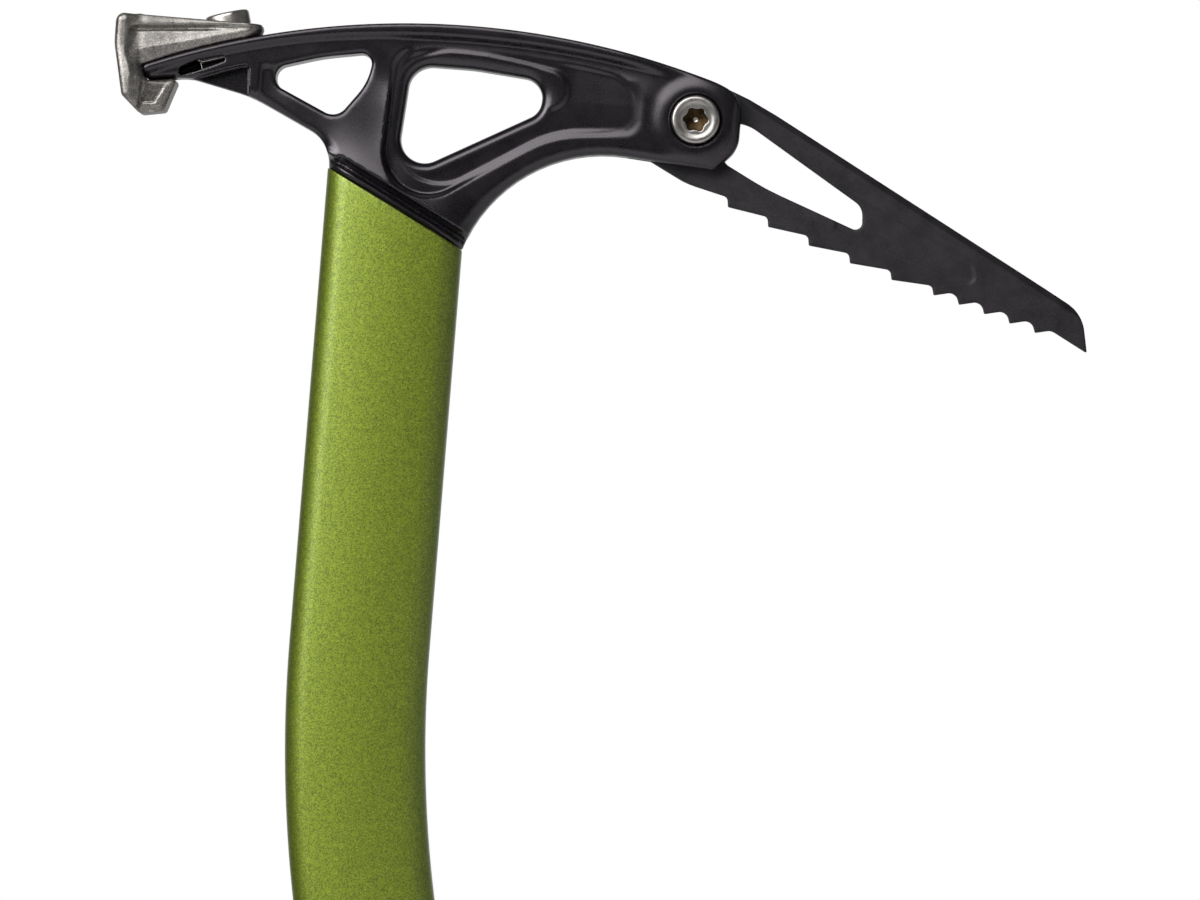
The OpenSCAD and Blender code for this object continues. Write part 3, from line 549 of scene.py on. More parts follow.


# Where a finish below has a lighter edge colour, its edges are painted lighter: partly abrasion, partly a
# painted highlight.
ANODISED_BLACK = surface(
    "anodised_black", (0.0025, 0.0022, 0.003), (0.006, 0.0052, 0.007), mottle=7.0, rough=(0.25, 0.32),
    grain=0.32, depth=0.014, specular=0.6, tint=(1.0, 0.93, 1.0, 1))
PICK_STEEL = surface(
    "pick_steel", (0.010, 0.009, 0.011), (0.024, 0.020, 0.025), mottle=5.0, rough=(0.46, 0.58),
    grain=0.42, depth=0.05, specular=0.25, edge_wear_and_sheen=(0.03, 0.028, 0.03), wear_and_sheen_range=(0.54, 0.66))
CAST_STEEL = surface(
    "cast_steel", (0.13, 0.123, 0.115), (0.385, 0.366, 0.342), mottle=2.2, rough=(0.38, 0.52),
    grain=0.4, depth=0.06, metallic=0.95, edge_wear_and_sheen=(0.52, 0.50, 0.47), wear_and_sheen_range=(0.52, 0.6), blotch=0.3)
CAST_SKIN = surface(
    "cast_steel", (0.05, 0.047, 0.044), (0.2, 0.19, 0.178), mottle=2.2, rough=(0.42, 0.56),
    grain=0.4, depth=0.09, metallic=0.95, blotch=0.3)
STAINLESS = turned_steel("stainless", (0.28, 0.265, 0.25), (0.48, 0.46, 0.44), axis=1)
SOCKET_BROWN = surface(
    "stainless", (0.018, 0.011, 0.005), (0.07, 0.046, 0.022), mottle=1.2, rough=(0.3, 0.5),
    grain=0.2, depth=0.01, metallic=1.0)
# near-black steel for the hammer's nut: painted shade, for the part of the nut that sits in the chamber's
# shadow
NUT_PAINTED_SHADE = surface(
    "stainless", (0.01, 0.009, 0.008), (0.022, 0.02, 0.018), mottle=2.0, rough=(0.5, 0.65),
    grain=0.25, depth=0.01, specular=0.15)
ANODISED_GREEN = flake_paint(
    "anodised_green", deep=(0.09, 0.13, 0.0047), pale=(0.27, 0.352, 0.019), flake=(0.48, 0.58, 0.115))
GRIP_RUBBER = surface(
    "grip_rubber", (0.012, 0.012, 0.012), (0.026, 0.026, 0.027), mottle=9.0, rough=(0.66, 0.82),
    grain=0.7, depth=0.09, specular=0.35)
NYLON = surface(
    "nylon", (0.022, 0.022, 0.023), (0.04, 0.04, 0.042), mottle=6.0, rough=(0.45, 0.6),
    grain=0.45, depth=0.035, specular=0.45, edge_wear_and_sheen=(0.08, 0.08, 0.08), wear_and_sheen_range=(0.54, 0.66))
BRASS = surface(
    "brass_washer", (0.45, 0.28, 0.08), (0.62, 0.42, 0.15), mottle=2.0, rough=(0.25, 0.42),
    grain=0.25, depth=0.01, metallic=1.0)
LEVER_ALLOY = surface(
    "lever_alloy", (0.02, 0.02, 0.022), (0.045, 0.045, 0.05), mottle=5.0, rough=(0.28, 0.42),
    grain=0.3, depth=0.012, metallic=0.4, edge_wear_and_sheen=(0.35, 0.35, 0.36))
EPOXY = surface(
    "epoxy", (0.5, 0.42, 0.2), (0.62, 0.54, 0.3), mottle=3.0, rough=(0.3, 0.5), grain=0.5, depth=0.02)


# Head: a forging whose thickness changes over its side
NUT_MOUTH = rounded([
    (-15.3, -5.8, 0.9), (-10.3, -5.5, 4), (-2.5, -4.4, 0.5), (-2.5, -3.0, 0.4), (-9, -2.85, 2.5),
    (-13.9, -3.6, 1.2)])
POCKET_FLOOR = rounded([
    (-3, -3.4, 12), (37.7, 22.2, 28), (57.6, 24.4, 4), (57.6, 60, 0), (14, 60, 0), (-1.2, 37.5, 8)])
POCKET_RIM = rounded([
    (-4.6, -6, 11), (37.6, 21, 28), (59.2, 23.2, 4), (59.2, 60, 0), (14, 60, 0), (-2.9, 38.0, 9)])
CUTOUT_RING = rounded([
    (2.5, 11, 6), (33.5, 28.4, 5), (40.4, 28.2, 4), (39.7, 36.2, 4), (20, 39.6, 60), (8, 39.6, 10),
    (2.5, 35, 6)])
# half thicknesses of the web, the front pocket's floor and ledge, and the ring round the cut-out
WEB_HALF, FLOOR_HALF, LEDGE_HALF, CREST_HALF = 7.3, 6.4, 6.85, 6.5
# how far forms stand out of the web or are cut into it
STRUT_SWELL, LIP_PROUD, BOSS_PROUD, STEP_DEEP, GROOVE_DEEP = 2.9, 1.2, 0.8, 0.6, 1.9
# how far the front pocket's floor and rim keep below the top edge, and their turn there
FLOOR_DOWN, RIM_DOWN, POCKET_TURN = 6.2, 4.4, 7.0
# over the shaft's rim: the bead's middle and half width, the groove's middle, and the collar's top
BEAD_UP, BEAD_HALF, GROOVE_UP, COLLAR_UP = 1.3, 1.5, 2.9, 4.4
# how deep the shaft's section is followed, the rear pocket's web, and where the pick's slot ends
SECTION_REACH, REAR_WEB_HALF, SLOT_END = 17.2, 3.0, 57
# room for the pick bolt's head and nut, and for the hammer's nut, whose middle is behind its bolt
HEAD_ROOM_R, NUT_ROOM_W = 6.4, 11.3
NUT_BACK, NUT_HALF, CHAMBER_HALF = 2.2, 6.5, 6.9
HAMMER_TILT = math.asin((CROWN_U - HAMMER_BOLT_U) / TOP_R)


def under_top(u, v):
    """Depth under the head's arched top edge."""
    return TOP_R - np.hypot(u - CROWN_U, v - (CROWN_V - TOP_R))


def from_rim(u, v):
    """Height over the shaft's sloped rim, and the way along it."""
    return u * RIM_SIN + v * RIM_COS, u * RIM_COS - v * RIM_SIN


def off_bolt(u, v):
    """Distance from the pick bolt's middle line."""
    return np.hypot(u - BOLT_U, v - BOLT_V)


def to_hammer_bolt(u, v):
    """Places in the frame of the hammer's bolt, which stands square to the arm's top edge."""
    du, dv = u - HAMMER_BOLT_U, v - on_top(HAMMER_BOLT_U)
    cos, sin = math.cos(HAMMER_TILT), math.sin(HAMMER_TILT)
    return du * cos + dv * sin, -du * sin + dv * cos


def head_half(u, v, arch):
    """Half the head's thickness at a place on its side."""
    above, along = from_rim(u, v)
    # the strut takes over the shaft's crowned section and thins as it rises
    section = section_half(np.clip(u, -SECTION_REACH, SECTION_REACH))
    climb = np.maximum(above - COLLAR_UP, 0)
    swell = STRUT_SWELL / (1 + ((u - 1) / 17) ** 6)
    fall = 0.45 * np.exp(-climb / 4.5) + 0.55 * np.maximum(1 - climb / 17, -0.53)
    half = WEB_HALF + swell * fall * (1 - ramp(climb, 20, 28))
    # the lip along the top edge and the cove under it
    lip = 1.2 + 1.2 * np.exp(-((u - CROWN_U) / 45) ** 2)
    fade = 1 - ramp(u, 52, 68)
    half = half + LIP_PROUD * (1 - ramp(arch, lip - 0.2, lip + 1.8)) * fade
    cove = 0.05 + 0.85 * ramp(u, -8, 8)
    half = half - cove * ramp(arch, lip + 0.6, lip + 2.0) * (1 - ramp(arch, lip + 2.2, lip + 8.5)) * fade
    # the front pocket: floor, ledge and rim, and the ring that rises round the cut-out
    floor_line = soft_max(polygon_field(POCKET_FLOOR, u, v), FLOOR_DOWN - arch, POCKET_TURN)
    rim_line = soft_max(polygon_field(POCKET_RIM, u, v), RIM_DOWN - arch, POCKET_TURN)
    cutout = polygon_field(FRONT_CUTOUT, u, v)
    crest = polygon_field(CUTOUT_RING, u, v)
    half = half + 0.9 * np.exp(-np.maximum(rim_line, 0) / 3.5) * (1 - ramp(u, -3, 2)) * (1 - ramp(v, 24, 36))
    ring = CREST_HALF + 0.4 * ramp(cutout, 0.2, 4.5)
    floor = FLOOR_HALF + 0.02 * np.clip(u - 42, 0, 14) + 0.2 * (1 - ramp(cutout, 1.0, 4.0))
    floor = floor + 0.06 * np.clip(31 - v, -7, 1) * ramp(u, 36, 46)
    floor = floor + np.maximum(ring - floor, 0) * (1 - ramp(crest, -0.2, 1.5))
    ledge = np.minimum(LEDGE_HALF - 0.5 * (1 - ramp(u, -3, 3)), half)
    floor = floor + np.maximum(ledge - floor, 0) * ramp(floor_line, -0.75, 0.6)
    runout = ramp(u, 50, 58)
    half = floor + (half - floor) * ramp(rim_line, -0.7 - runout, 0.7 + 0.5 * runout)
    # the step beside the arm's rib
    half = half - STEP_DEEP * ramp(u, -36.5, -35.1) * (1 - ramp(u, -34.5, -26)) * (1 - ramp(v, 31.5, 34))
    # the bead on the shaft's rim and the groove over it
    round_off = 1.1 * np.clip((above - BEAD_UP) / BEAD_HALF, -1, 1) ** 2
    bead = section - 0.2 - round_off - 0.9 * ramp(along, -4, 9)
    near = ramp(along, -24, -21)
    half = half + (bead - half) * (1 - ramp(above, 2.0, 3.2)) * near
    gap = np.abs(above - GROOVE_UP + 2.2 * ramp(-along, 17.6, 20.2))
    half = half - GROOVE_DEEP * (1 - ramp(gap, 0.3, 1.6)) * (1 - 0.5 * ramp(-along, 16, 19)) * near
    # the boss round the pick's bolt
    return half + BOSS_PROUD * (1 - ramp(off_bolt(u, v), 7.4, 12))


def head_field(u, y, v):
    arch = under_top(u, v)
    outline = soft_max(polygon_field(HEAD, u, v), -arch, 1.2)
    above, along = from_rim(u, v)
    half = head_half(u, v, arch)
    # edges are round, most of all where the strut meets the shaft's round corners
    left = ramp(-u, 2, 9) * (1 - ramp(-u, 22, 30))
    foot = ramp(above, 3.0, 4.8) * (1 - ramp(above, 7, 24 - 8 * left)) * (1 - ramp(np.abs(u), 22, 32))
    foot = foot * ramp(along, -31, -20)
    edge = 0.9 + 1.9 * ramp(arch, 1.0, 6.0) * (1 - 0.9 * left) + (1.2 + 1.2 * left) * foot
    edge = np.minimum(edge, 0.95 * half)
    field = soft_max(np.abs(y) - half, outline, edge)
    field = soft_max(field, -polygon_field(FRONT_CUTOUT, u, v), 2.8)
    field = soft_max(field, -polygon_field(REAR_CUTOUT, u, v), 1.4)
    # the three-cornered pocket on the arm
    field = soft_max(field, -np.maximum(polygon_field(REAR_POCKET, u, v), REAR_WEB_HALF - np.abs(y)), 0.1)
    # the shaft's rim
    field = np.maximum(field, np.minimum(0.03 - above, 18.5 - np.abs(u)))
    # the pick's slot, the bolt's seat, the nut's seat and the barrel's bore
    off = off_bolt(u, v)
    field = soft_max(field, -np.maximum(np.abs(y) - (PICK_HALF + 2 * FIT), SLOT_END - u), 0.4)
    field = soft_max(field, -np.maximum(off - HEAD_ROOM_R, y + BOLT_SEAT), 0.5)
    field = soft_max(field, -np.maximum(hexagon(u - BOLT_U, v - BOLT_V, NUT_ROOM_W), BOLT_SEAT - y), 0.4)
    field = np.maximum(field, BARREL_R + FIT - off)
    # the hammer bolt's bore, its nut's chamber and the mouth that shows the nut
    a, b = to_hammer_bolt(u, v)
    field = soft_max(field, -np.maximum(polygon_field(NUT_MOUTH, a, b), y - 3.5), 0.25)
    chamber = np.maximum(np.maximum(np.abs(a + NUT_BACK) - CHAMBER_HALF, np.abs(b + 4.3) - 1.5), -5.8 - y)
    field = soft_max(field, -chamber, 0.1)
    return np.maximum(field, -np.maximum(np.hypot(a, y) - (HAMMER_BOLT_R + FIT), -6.2 - b))


solid("head_forging", head_field, (-67, -11, -10.5), (85, 11, 47.5), 0.35, HEAD_AT, ANODISED_BLACK,
      TOOL, "head", own_frame=False)


# Pick: a plate with a ground top edge and a recessed panel on each side, thinner at its point
BEVEL_W, BEVEL_DEEP, PANEL_DEEP, POINT_THIN = 1.6, 1.5, 0.4, 0.4


def pick_field(u, y, v):
    outline = np.maximum(polygon_field(PICK, u, v), -polygon_field(PICK_SLOT, u, v))
    outline = np.maximum(outline, BARREL_R + FIT - off_bolt(u, v))
    a, b = np.array(PICK_BACK), np.array(PICK_NOSE)
    run = (b - a) / np.linalg.norm(b - a)
    below = -((v - a[1]) * run[0] - (u - a[0]) * run[1])
    bevel = np.clip(1 - below / BEVEL_W, 0, 1) * BEVEL_DEEP
    half = PICK_HALF - bevel * ramp(u, 82, 90) - POINT_THIN * ramp(u, 156, 178)
    half = half - PANEL_DEEP * (1 - ramp(polygon_field(PICK_PANEL, u, v), -0.5, 0.4))
    return soft_max(np.abs(y) - half, outline, 0.5)


solid("pick_plate", pick_field, (56.43, -2.13, -22.46), (176, 2.1, 42.5), 0.3, HEAD_AT, PICK_STEEL,
      TOOL, "pick", own_frame=False)


# Pick bolt and nut, in a frame at the bolt's centre
BOLT_AT = HEAD_AT @ place(("move", (BOLT_U, 0, BOLT_V)))
PICK_NUT_W = 11.0
SOCKET_R, SOCKET_MOUTH, SOCKET_FLOOR = 3.15, -9.75, -7.4


def nut_cone(r, over):
    """The cone that takes the corners off a nut's face."""
    return r * 0.5 + over * 0.86


def pick_bolt_field(x, y, z):
    r = np.hypot(x, z)
    face = -BOLT_FACE + 0.28 * (1 - ramp(r, 3.6, 5.0))
    head = soft_max(np.maximum(r - BOLT_HEAD_R, y + BOLT_SEAT), face - y, 0.9)
    head = np.minimum(head, np.maximum(r - BOLT_R, slab(y, -7.4, 8.4)))
    socket = np.maximum(six_lobe(x, z, SOCKET_W), y + 8.0 - 0.25 * (3.0 - r))
    return soft_max(head, -socket, 0.3)


def pick_nut_field(x, y, z):
    r = np.hypot(x, z)
    hexa = soft_max(hexagon(x, z, PICK_NUT_W), slab(y, BOLT_SEAT, BOLT_FACE), 0.3)
    hexa = soft_max(hexa, nut_cone(r - 6.0, y - BOLT_FACE), 0.3)
    barrel = np.maximum(r - BARREL_R, slab(y, -6.5, 8))
    return soft_max(np.minimum(hexa, barrel), BOLT_R + FIT - r, 0.3)


pick_bolt = solid("pick_bolt_turned", pick_bolt_field, (-6.1, -10.4, -6.1), (6.1, 8.5, 6.1), 0.13, BOLT_AT,
                  STAINLESS, TOOL, "pick_bolt")
# the socket keeps the brown of its heat treatment
pick_bolt.data.materials.append(SOCKET_BROWN)
for face in pick_bolt.data.polygons:
    across, depth = math.hypot(face.center.x, face.center.z) / MM, face.center.y / MM
    face.material_index = int(across < SOCKET_R and SOCKET_MOUTH < depth < SOCKET_FLOOR)
solid("pick_nut_barrel", pick_nut_field, (-6.5, -6.6, -6.5), (6.5, 10.3, 6.5), 0.16, BOLT_AT, STAINLESS, TOOL,
      "pick_nut")


# Hammer: a cast block with a foot, with a trough along both sides
HAMMER_ROOM_R = 5.8


def hammer_field(u, y, v):
    plan = polygon_field(HAMMER_PLAN, u + 1.7 * ramp(v, 27, 34) * (1 - ramp(u, -62, -50)), y)
    plan = plan + 1.2 * ramp(v, 25, 37) * (1 - ramp(u, -70, -65))
    side = polygon_field(BLOCK, u, v)
    # below the arm the jaw is bevelled round its side, and leans in
    lean_in = 0.1 * np.maximum(27 - v, 0)
    jaw = np.abs(y) - 9.5 + lean_in + 0.9 * np.maximum(side + 1.3, 0)
    jaw = jaw - 4 * (1 - ramp(u, -67, -64.8)) - 4 * ramp(v, 26.2, 27.2)
    block = soft_max(soft_max(side, plan, 1.8), jaw, 0.3)
    # the foot leans in towards the arm, and a facet that runs out forwards cuts its upper edges
    over_arm = -under_top(u, v)
    lean = plan + 0.12 * np.maximum(4 - over_arm, 0) + 0.25 * np.maximum(1.5 - over_arm, 0)
    foot = soft_max(np.maximum(polygon_field(FOOT, u, v), 0.1 - over_arm), lean, 0.8)
    field = soft_min(block, foot, 0.6)
    facet = 1.7 * ramp(u, -69.5, -67.2) * (1 - ramp(u, -66, -42))
    field = soft_max(field, (plan + 0.42 * (v - HAMMER_V + facet)) * 0.92, 0.3)
    # the trough along the side: a long slope up to a steep wall, closed behind and running out forwards
    ahead = u + 67
    rise = v - 34.2 - 0.25 * ahead
    slope = 0.16 * rise + 0.3 * ramp(rise, 0, 0.9)
    wall = 1.1 * (40.2 + 0.089 * ahead - v)
    trough = soft_min(soft_min(slope, wall, 0.5), 0.75 * (u + 69.5), 0.8)
    line = np.abs(v - 39.6 - 0.089 * ahead)
    trough = trough + 0.8 * (1 - ramp(line, 0.2, 1.0)) * ramp(u, -69.5, -67.5) * (1 - ramp(u, -52, -44))
    field = soft_max(field, plan + trough, 0.3)
    panel = np.maximum(polygon_field(JAW_PANEL, u, v), 9.15 - lean_in - 0.09 * (28 - v) - np.abs(y))
    field = soft_max(field, -panel, 0.3)
    a, b = to_hammer_bolt(u, v)
    off = np.hypot(a, y)
    field = soft_max(field, -np.maximum(off - HAMMER_ROOM_R, HAMMER_SEAT - b), 0.4)
    return np.maximum(field, HAMMER_BOLT_R + FIT - off)


hammer = solid("hammer_cast", hammer_field, (-74.2, -12.3, 18), (-35.5, 12.3, 43.6), 0.28, HEAD_AT,
               CAST_STEEL, TOOL, "hammer", own_frame=False)
# the jaw's recess keeps its darker casting skin
hammer.data.materials.append(CAST_SKIN)
centres = np.empty(3 * len(hammer.data.polygons), np.float32)
hammer.data.polygons.foreach_get("center", centres)
to_head = np.array(HEAD_AT.inverted())
centres = (centres.reshape(-1, 3) @ to_head[:3, :3].T + to_head[:3, 3]) / MM
in_recess = (polygon_field(JAW_PANEL, centres[:, 0], centres[:, 2]) < -0.15) & (centres[:, 2] < 28)
hammer.data.polygons.foreach_set("material_index", in_recess.astype(np.int32))

# Hammer bolt and nut, in a frame where the bolt meets the arm's top edge
HAMMER_BOLT_AT = HEAD_AT @ place(
    ("move", (HAMMER_BOLT_U, 0, on_top(HAMMER_BOLT_U))), ("Y", -math.degrees(HAMMER_TILT)))


def hammer_bolt_field(x, y, z):
    r = np.hypot(x, y)
    head = soft_max(np.maximum(r - HAMMER_HEAD_R, HAMMER_SEAT - z), z - 7.5, 1.0)
    head = soft_max(head, np.abs(0.67 * x - 0.74 * y) - 5.06, 0.3)
    head = np.minimum(head, np.maximum(r - HAMMER_BOLT_R, slab(z, -5.4, 4.6)))
    return soft_max(head, -np.maximum(six_lobe(x, y, SOCKET_W), 5.3 - z), 0.3)


def hammer_nut_field(x, y, z):
    length = np.abs(x + NUT_BACK) - NUT_HALF
    plate = soft_max(soft_max(length, np.abs(y) - 5.5, 0.3), np.abs(z + 3.25) - 0.45, 0.2)
    body = soft_max(soft_max(length, np.abs(y - 1.2) - 4.3, 0.3), np.abs(z + 4.1) - 1.3, 0.3)
    return np.maximum(np.minimum(plate, body), HAMMER_BOLT_R + FIT - np.hypot(x, y))


TURNED_UP = turned_steel("stainless", (0.45, 0.43, 0.40), (0.66, 0.64, 0.60), axis=2)
solid("hammer_bolt_turned", hammer_bolt_field, (-5.6, -5.6, -5.5), (5.6, 5.6, 7.6), 0.15, HAMMER_BOLT_AT,
      TURNED_UP, TOOL, "hammer_bolt")
hammer_nut = solid("hammer_nut_plate", hammer_nut_field, (-8.8, -5.6, -5.5), (4.4, 5.6, -2.7), 0.2,
                   HAMMER_BOLT_AT, NUT_PAINTED_SHADE, TOOL, "hammer_nut")
# the nut's upper edge is painted as a lit strip in bright turned steel, and below it the nut is painted shade
LIT_STRIP_Z = -3.75
hammer_nut.data.materials.append(TURNED_UP)
for face in hammer_nut.data.polygons:
    face.material_index = int(face.center.z / MM > LIT_STRIP_Z)


# Shaft and grip: skins through rings of the section
def ring(inset, origin, across, lift=None):
    """One ring of the section, drawn smaller by inset, lifted along the tube by lift for each point."""
    flat = SECTION - inset * SECTION_OUT
    points = origin + flat[:, :1] * across + flat[:, 1:] * np.array((0, 1.0, 0))
    if lift is not None:
        up = np.array((-across[2], 0, across[0]))
        points = points + np.asarray(lift)[:, None] * up
    return points


GRIP_WALL, SLIP = 2.0, 0.02
X_AXIS = np.array((1.0, 0, 0))


def level_rings(levels):
    """Rings across the straight grip, from pairs of height and inset."""
    return [ring(inset, np.array((0, 0, z)), X_AXIS) for z, inset in levels]


def shaft_rings():
    """Up the outside from the neck under the grip to the sloped rim, and down the inside."""
    neck, bore, steps = GRIP_WALL + SLIP, GRIP_WALL + SHAFT_WALL, 40
    rings = level_rings([
        (SHAFT_END, neck), (SHAFT_END + 0.2, neck), (GRIP_TOP - 0.2, neck), (GRIP_TOP + SLIP, neck - SLIP),
        (GRIP_TOP + SLIP, 0.4), (GRIP_TOP + 0.14, 0.12), (GRIP_TOP + 0.4, 0), (184, 0), (187, 0)])
    bend = [math.radians(BEND_DEG) * k / steps for k in range(steps + 1)]
    across = [np.array((math.cos(a), 0, -math.sin(a))) for a in bend]
    middle = [np.array((BEND_R - BEND_R * math.cos(a), 0, BEND_Z + BEND_R * math.sin(a))) for a in bend]
    rings += [ring(0, m, x) for m, x in zip(middle, across)]
    rim = UPPER_LEN - SECTION[:, 0] * RIM_TAN
    rings += [ring(0, middle[-1], across[-1], (rim - 0.5) * k / (steps - 1)) for k in range(1, steps)]
    for inset, drop in ((0.03, 0.25), (0.14, 0.08), (0.34, 0.0), (SHAFT_WALL - 0.2, 0.0), (SHAFT_WALL, 0.2)):
        rings.append(ring(inset, middle[-1], across[-1], rim - drop + inset * SECTION_OUT[:, 0] * RIM_TAN))
    rings += [ring(SHAFT_WALL, m, x) for m, x in zip(middle[::-4], across[::-4])]
    rings += level_rings([(GRIP_TOP + SHAFT_WALL, SHAFT_WALL), (GRIP_TOP + SHAFT_WALL - 0.2, bore),
                          (SHAFT_END + 0.2, bore), (SHAFT_END, bore)])
    return rings


def grip_rings():
    """A moulded sleeve: rolled ends, and a run of rounded grooves."""
    depth, pitch, count, width, steps = 0.7, 7.0, 13, 2.6, 10
    top_land, lead = 12, 2.3
    levels = [(SHAFT_END, GRIP_WALL - 0.3), (SHAFT_END, 0.5), (SHAFT_END + 0.15, 0.2), (SHAFT_END + 0.6, 0.0)]
    lowest = GRIP_TOP - top_land - pitch * (count - 1) - lead
    levels += [(z, 0.0) for z in np.arange(SHAFT_END + 4, lowest - 1, 4.0)]
    for i in range(count):
        start = lowest + pitch * i
        for k in range(steps + 1):
            levels.append((start + width * k / steps, depth * math.sin(math.pi * k / steps) ** 1.3))
        levels.append((start + (width + pitch) / 2, 0.0))
    levels += [(GRIP_TOP - 4, 0.0), (GRIP_TOP - 0.6, 0.0), (GRIP_TOP - 0.15, 0.2), (GRIP_TOP, 0.5),
               (GRIP_TOP, GRIP_WALL - 0.3), (GRIP_TOP - 0.3, GRIP_WALL), (SHAFT_END + 0.3, GRIP_WALL)]
    return level_rings(levels)


loft("shaft_tube", shaft_rings(), ROW, ANODISED_GREEN, TOOL, "shaft")
loft("grip_sleeve", grip_rings(), ROW, GRIP_RUBBER, TOOL, "grip")


# Spike: a blade with a clip-in hole, a collar under the tube and a hollow tang in it
CLIP_HOLE_R = 7.5


def spike_field(x, y, z):
    section = section_field(x, y)
    blade = soft_max(polygon_field(SPIKE_SIDE, x, z), polygon_field(SPIKE_FRONT, y, z), 1.2)
    blade = np.maximum(blade, section)
    collar = soft_max(section, slab(z, 17, 23.98), 0.6)
    tang = np.maximum(section + 3.9, slab(z, 22, 58))
    tang = np.maximum(tang, -np.maximum(section + 6.4, 30 - z))
    field = np.minimum(soft_min(blade, collar, 2.0), tang)
    return soft_max(field, CLIP_HOLE_R - np.hypot(x, z), 1.4)


solid("spike_cast", spike_field, (-17.6, -10.6, -42.2), (17.6, 10.6, 58.2), 0.4, ROW, CAST_STEEL,
      TOOL, "spike")


# Grip rest and its clamp
SHELF_PITCH, LEVER_PITCH = 3.0, 2.6


def griprest_field(x, y, z):
    section = section_field(x, y)
    band = slab(z, RING_Z, RING_Z + RING_H)
    ring_part = soft_max(section - RING_GAP - RING_WALL, band, 1.6)
    ears = soft_max(polygon_field(EARS, x, z), np.abs(y) - EAR_FACE, 1.2)
    nose = np.hypot(x - (SHELF_X + SHELF_REACH - 32), y) - 33
    shelf = soft_max(polygon_field(SHELF, x, z), np.maximum(np.abs(y) - 10, nose), 2.2)
    on_shelf = x - SHELF_X
    ridges = 0.35 * np.sin(2 * math.pi * on_shelf / SHELF_PITCH) * ramp(on_shelf, 5, 8)
    ridges = ridges * (1 - ramp(on_shelf, 15, 18)) * (1 - ramp(np.abs(y), 7, 8.5))
    shelf = shelf + np.maximum(ridges, 0) * ramp(z, 33, 35)
    field = soft_max(soft_min(soft_min(ring_part, ears, 2.0), shelf, 2.5), band, 0.8)
    field = soft_max(field, -(section - RING_GAP), 0.6)
    slit = np.maximum(np.abs(y) - SLIT_W / 2, x)
    field = soft_max(field, -slit, 0.5)
    return np.maximum(field, SKEWER_R + FIT - np.hypot(x - EAR_X, z - RING_MID))


solid("griprest_moulding", griprest_field, (-34.2, -15, 26.8), (51, 15, 49.2), 0.4, ROW, NYLON,
      REST, "griprest_body")

# The clamp's pieces, in a frame at the middle of the ears
EAR_AT = place(("move", (EAR_X, 0, RING_MID)))
SKEWER_END, EYE_R, WASHER_R = 12.7, 4.4, 6.2
FLANGE_R, FLANGE_TOP, SKEWER_NUT_W, NUT_TOP = 6.0, EAR_FACE + 1.4, 9.0, EAR_FACE + 4.8


def skewer_field(x, y, z):
    r, off = np.hypot(x, z), np.hypot(x, y - AXLE_Y)
    rod = np.maximum(r - SKEWER_R, slab(y, AXLE_Y, SKEWER_END))
    rod = soft_max(rod, r + y - 14.6, 0.3)
    eye = soft_max(off - EYE_R, np.abs(z) - 2.3, 0.6)
    return np.maximum(soft_min(rod, eye, 0.8), AXLE_R + FIT - off)


def skewer_nut_field(x, y, z):
    r = np.hypot(x, z)
    flange = soft_max(r - FLANGE_R, slab(y, EAR_FACE, FLANGE_TOP), 0.5)
    hexa = soft_max(hexagon(x, z, SKEWER_NUT_W), slab(y, EAR_FACE, NUT_TOP), 0.3)
    hexa = soft_max(hexa, nut_cone(r - 4.9, y - NUT_TOP), 0.3)
    return soft_max(np.minimum(flange, hexa), SKEWER_R + FIT - r, 0.3)


def washer_field(x, y, z):
    r = np.hypot(x, z)
    plate = soft_max(r - WASHER_R, slab(y, -EAR_FACE - 1.5, -EAR_FACE), 0.5)
    return soft_max(plate, SKEWER_R + FIT - r, 0.4)


def lever_field(x, y, z):
    cam = np.hypot(x - EAR_X, y - AXLE_Y - CAM_OFFSET) - CAM_R
    arm = polygon_field(LEVER_PLAN, x, y)
    tip = ramp(x, 2, 15)
    height = LEVER_H / 2 - 1.4 * tip
    field = soft_max(soft_min(cam, arm, 1.5), np.abs(z) - height, 1.2)
    ridges = 0.3 * np.maximum(np.sin(2 * math.pi * x / LEVER_PITCH), 0)
    ridges = ridges * ramp(x, 4, 6) * (1 - ramp(x, 12.5, 14))
    field = field + ridges * ramp(LEVER_IN - 2.0 - y, 0, 1)
    off = np.hypot(x - EAR_X, y - AXLE_Y)
    eye_room = np.maximum(off - 7.7, np.abs(z) - 2.5)
    field = soft_max(field, -eye_room, 0.4)
    return np.maximum(field, AXLE_R - off)


def axle_field(x, y, z):
    return soft_max(np.hypot(x, y - AXLE_Y) - AXLE_R, np.abs(z) - LEVER_H / 2, 0.5)


solid("clamp_skewer_rod", skewer_field, (-4.5, -19.8, -2.6), (4.5, 12.8, 2.6), 0.18, EAR_AT, STAINLESS, REST,
      "clamp_skewer")
solid("skewer_nut_flanged", skewer_nut_field, (-6.1, 7.1, -6.1), (6.1, 12.1, 6.1), 0.18, EAR_AT, STAINLESS,
      REST, "skewer_nut")
solid("cam_washer_ring", washer_field, (-6.3, -8.8, -6.3), (6.3, -7.1, 6.3), 0.18, EAR_AT, BRASS,
      REST, "cam_washer")
solid("cam_lever_arm", lever_field, (-32.7, -22.6, -7.1), (15.2, -8.6, 7.1), 0.25,
      place(("move", (0, 0, RING_MID))), LEVER_ALLOY, LEVER, "cam_lever")
solid("lever_axle_pin", axle_field, (-2.1, AXLE_Y - 2.1, -7.1), (2.1, AXLE_Y + 2.1, 7.1), 0.15, EAR_AT,
      TURNED_UP, LEVER, "lever_axle")

# CAD nodes that stay as they are, inside the tube
for node, finish in (("head_bond", EPOXY), ("spike_rivet", STAINLESS)):
    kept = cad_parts[node]
    kept.data.materials.clear()
    kept.data.materials.append(finish)


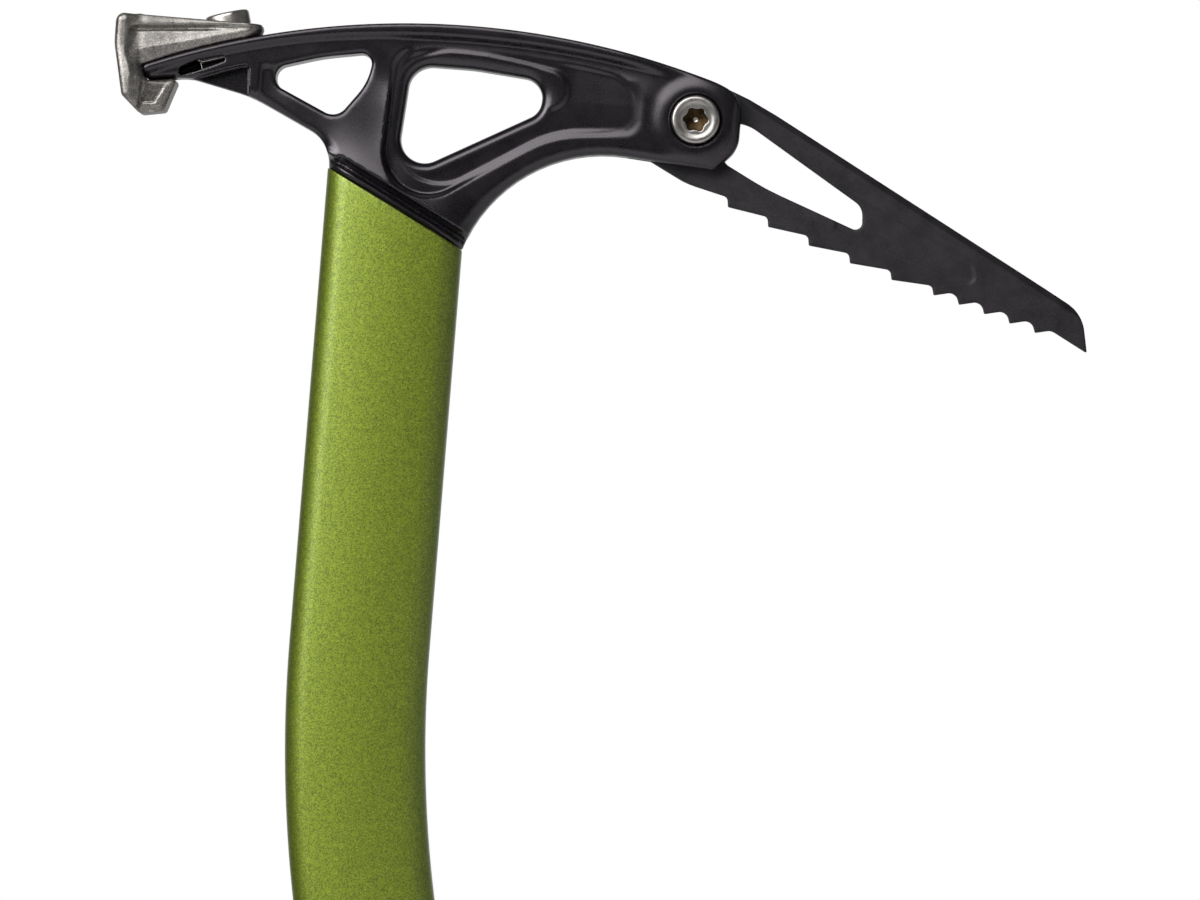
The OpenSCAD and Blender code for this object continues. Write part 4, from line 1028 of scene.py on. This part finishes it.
# Stage, in metres: a pale floor under the spike, white surroundings, soft lights, and the photograph's camera
scene = bpy.context.scene
scene.view_settings.view_transform = "Standard"
FLOOR_AT, FLOOR_R, FLOOR_GLOW = (0.09, 0, -0.042), 1.6, 0.22
ROLL = math.radians(15.355)
RIGHT = Vector((math.cos(ROLL), 0, -math.sin(ROLL)))
UP = Vector((math.sin(ROLL), 0, math.cos(ROLL)))
BACK = Vector((0, -1, 0))
AIM = Vector((0.09036, 0, 0.33115))
LAMP_SPREAD = math.radians(160)
CAMERA_BACK, LENS, SENSOR, CLIP_END = 2.0, 240.0, 36.0, 20.0


def lay_floor():
    """Matt paper that glows a little to the camera, and keeps the tool's shadow."""
    bpy.ops.mesh.primitive_circle_add(vertices=96, radius=FLOOR_R, fill_type="NGON", location=FLOOR_AT)
    floor = bpy.context.object
    floor.name = "floor"
    material, shader, n = new_material("floor_paper", 0.0, 0.2)
    shader.inputs["Roughness"].default_value = 0.9
    mottle = n.noise(n.add("ShaderNodeTexCoord").outputs["Object"], 40.0)
    paper = n.ramp(mottle, (0.3, (0.86, 0.86, 0.86)), (0.7, (0.88, 0.88, 0.88)))
    n.link(paper, shader.inputs["Base Color"])
    seen = n.add("ShaderNodeLightPath").outputs["Is Camera Ray"]
    n.link(n.math("MULTIPLY", seen, FLOOR_GLOW), shader.inputs["Emission Strength"])
    shader.inputs["Emission Color"].default_value = (1, 1, 1, 1)
    floor.data.materials.append(material)


def surround():
    """White to the camera. What lights the tool is a dim room, brighter above, with a bright wall behind."""
    world = bpy.data.worlds.new("studio")
    scene.world = world
    world.use_nodes = True
    n = Nodes(world.node_tree)
    sky = world.node_tree.nodes["Background"]
    path = n.add("ShaderNodeLightPath")
    seen = n.math("MAXIMUM", path.outputs["Is Camera Ray"], path.outputs["Is Transmission Ray"])
    way = n.add("ShaderNodeSeparateXYZ")
    n.link(n.add("ShaderNodeTexCoord").outputs["Generated"], way.inputs["Vector"])
    behind = n.range(way.outputs["Y"], 0.7, 0.95, 0, 0.8)
    above = n.range(way.outputs["Z"], -0.2, 0.9, 0.05, 0.13)
    front = n.range(way.outputs["Y"], -0.95, -0.5, 0.4, 1.0)
    room = n.math("MAXIMUM", n.math("MULTIPLY", above, front), behind)
    unseen = n.math("MULTIPLY", n.math("SUBTRACT", 1.0, seen), room)
    n.link(n.math("ADD", seen, unseen), sky.inputs["Strength"])
    sky.inputs["Color"].default_value = (1, 1, 1, 1)


def softbox(name, right, up, back, watts, width, height):
    """An area light at a place in the picture's own directions, measured from the aim, facing it."""
    light = bpy.data.lights.new(name, "AREA")
    light.shape = "RECTANGLE"
    light.size, light.size_y, light.energy = width, height, watts
    light.spread = LAMP_SPREAD
    lamp = bpy.data.objects.new(name, light)
    scene.collection.objects.link(lamp)
    where = AIM + RIGHT * right + UP * up + BACK * back
    lamp.location = where
    lamp.rotation_euler = (AIM - where).to_track_quat("-Z", "Y").to_euler()


lay_floor()
surround()
softbox("key", right=-0.88, up=0.40, back=0.78, watts=7.9, width=0.75, height=0.65)
softbox("top", right=-0.40, up=0.83, back=1.0, watts=12.0, width=1.3, height=0.8)
softbox("fill", right=1.02, up=0.05, back=0.62, watts=0.28, width=0.5, height=0.6)

camera_data = bpy.data.cameras.new("camera")
camera_data.sensor_width, camera_data.lens, camera_data.clip_end = SENSOR, LENS, CLIP_END
camera = bpy.data.objects.new("camera", camera_data)
scene.collection.objects.link(camera)
turn = Matrix((RIGHT, UP, BACK)).transposed().to_4x4()
camera.matrix_world = Matrix.Translation(AIM + BACK * CAMERA_BACK) @ turn
scene.camera = camera
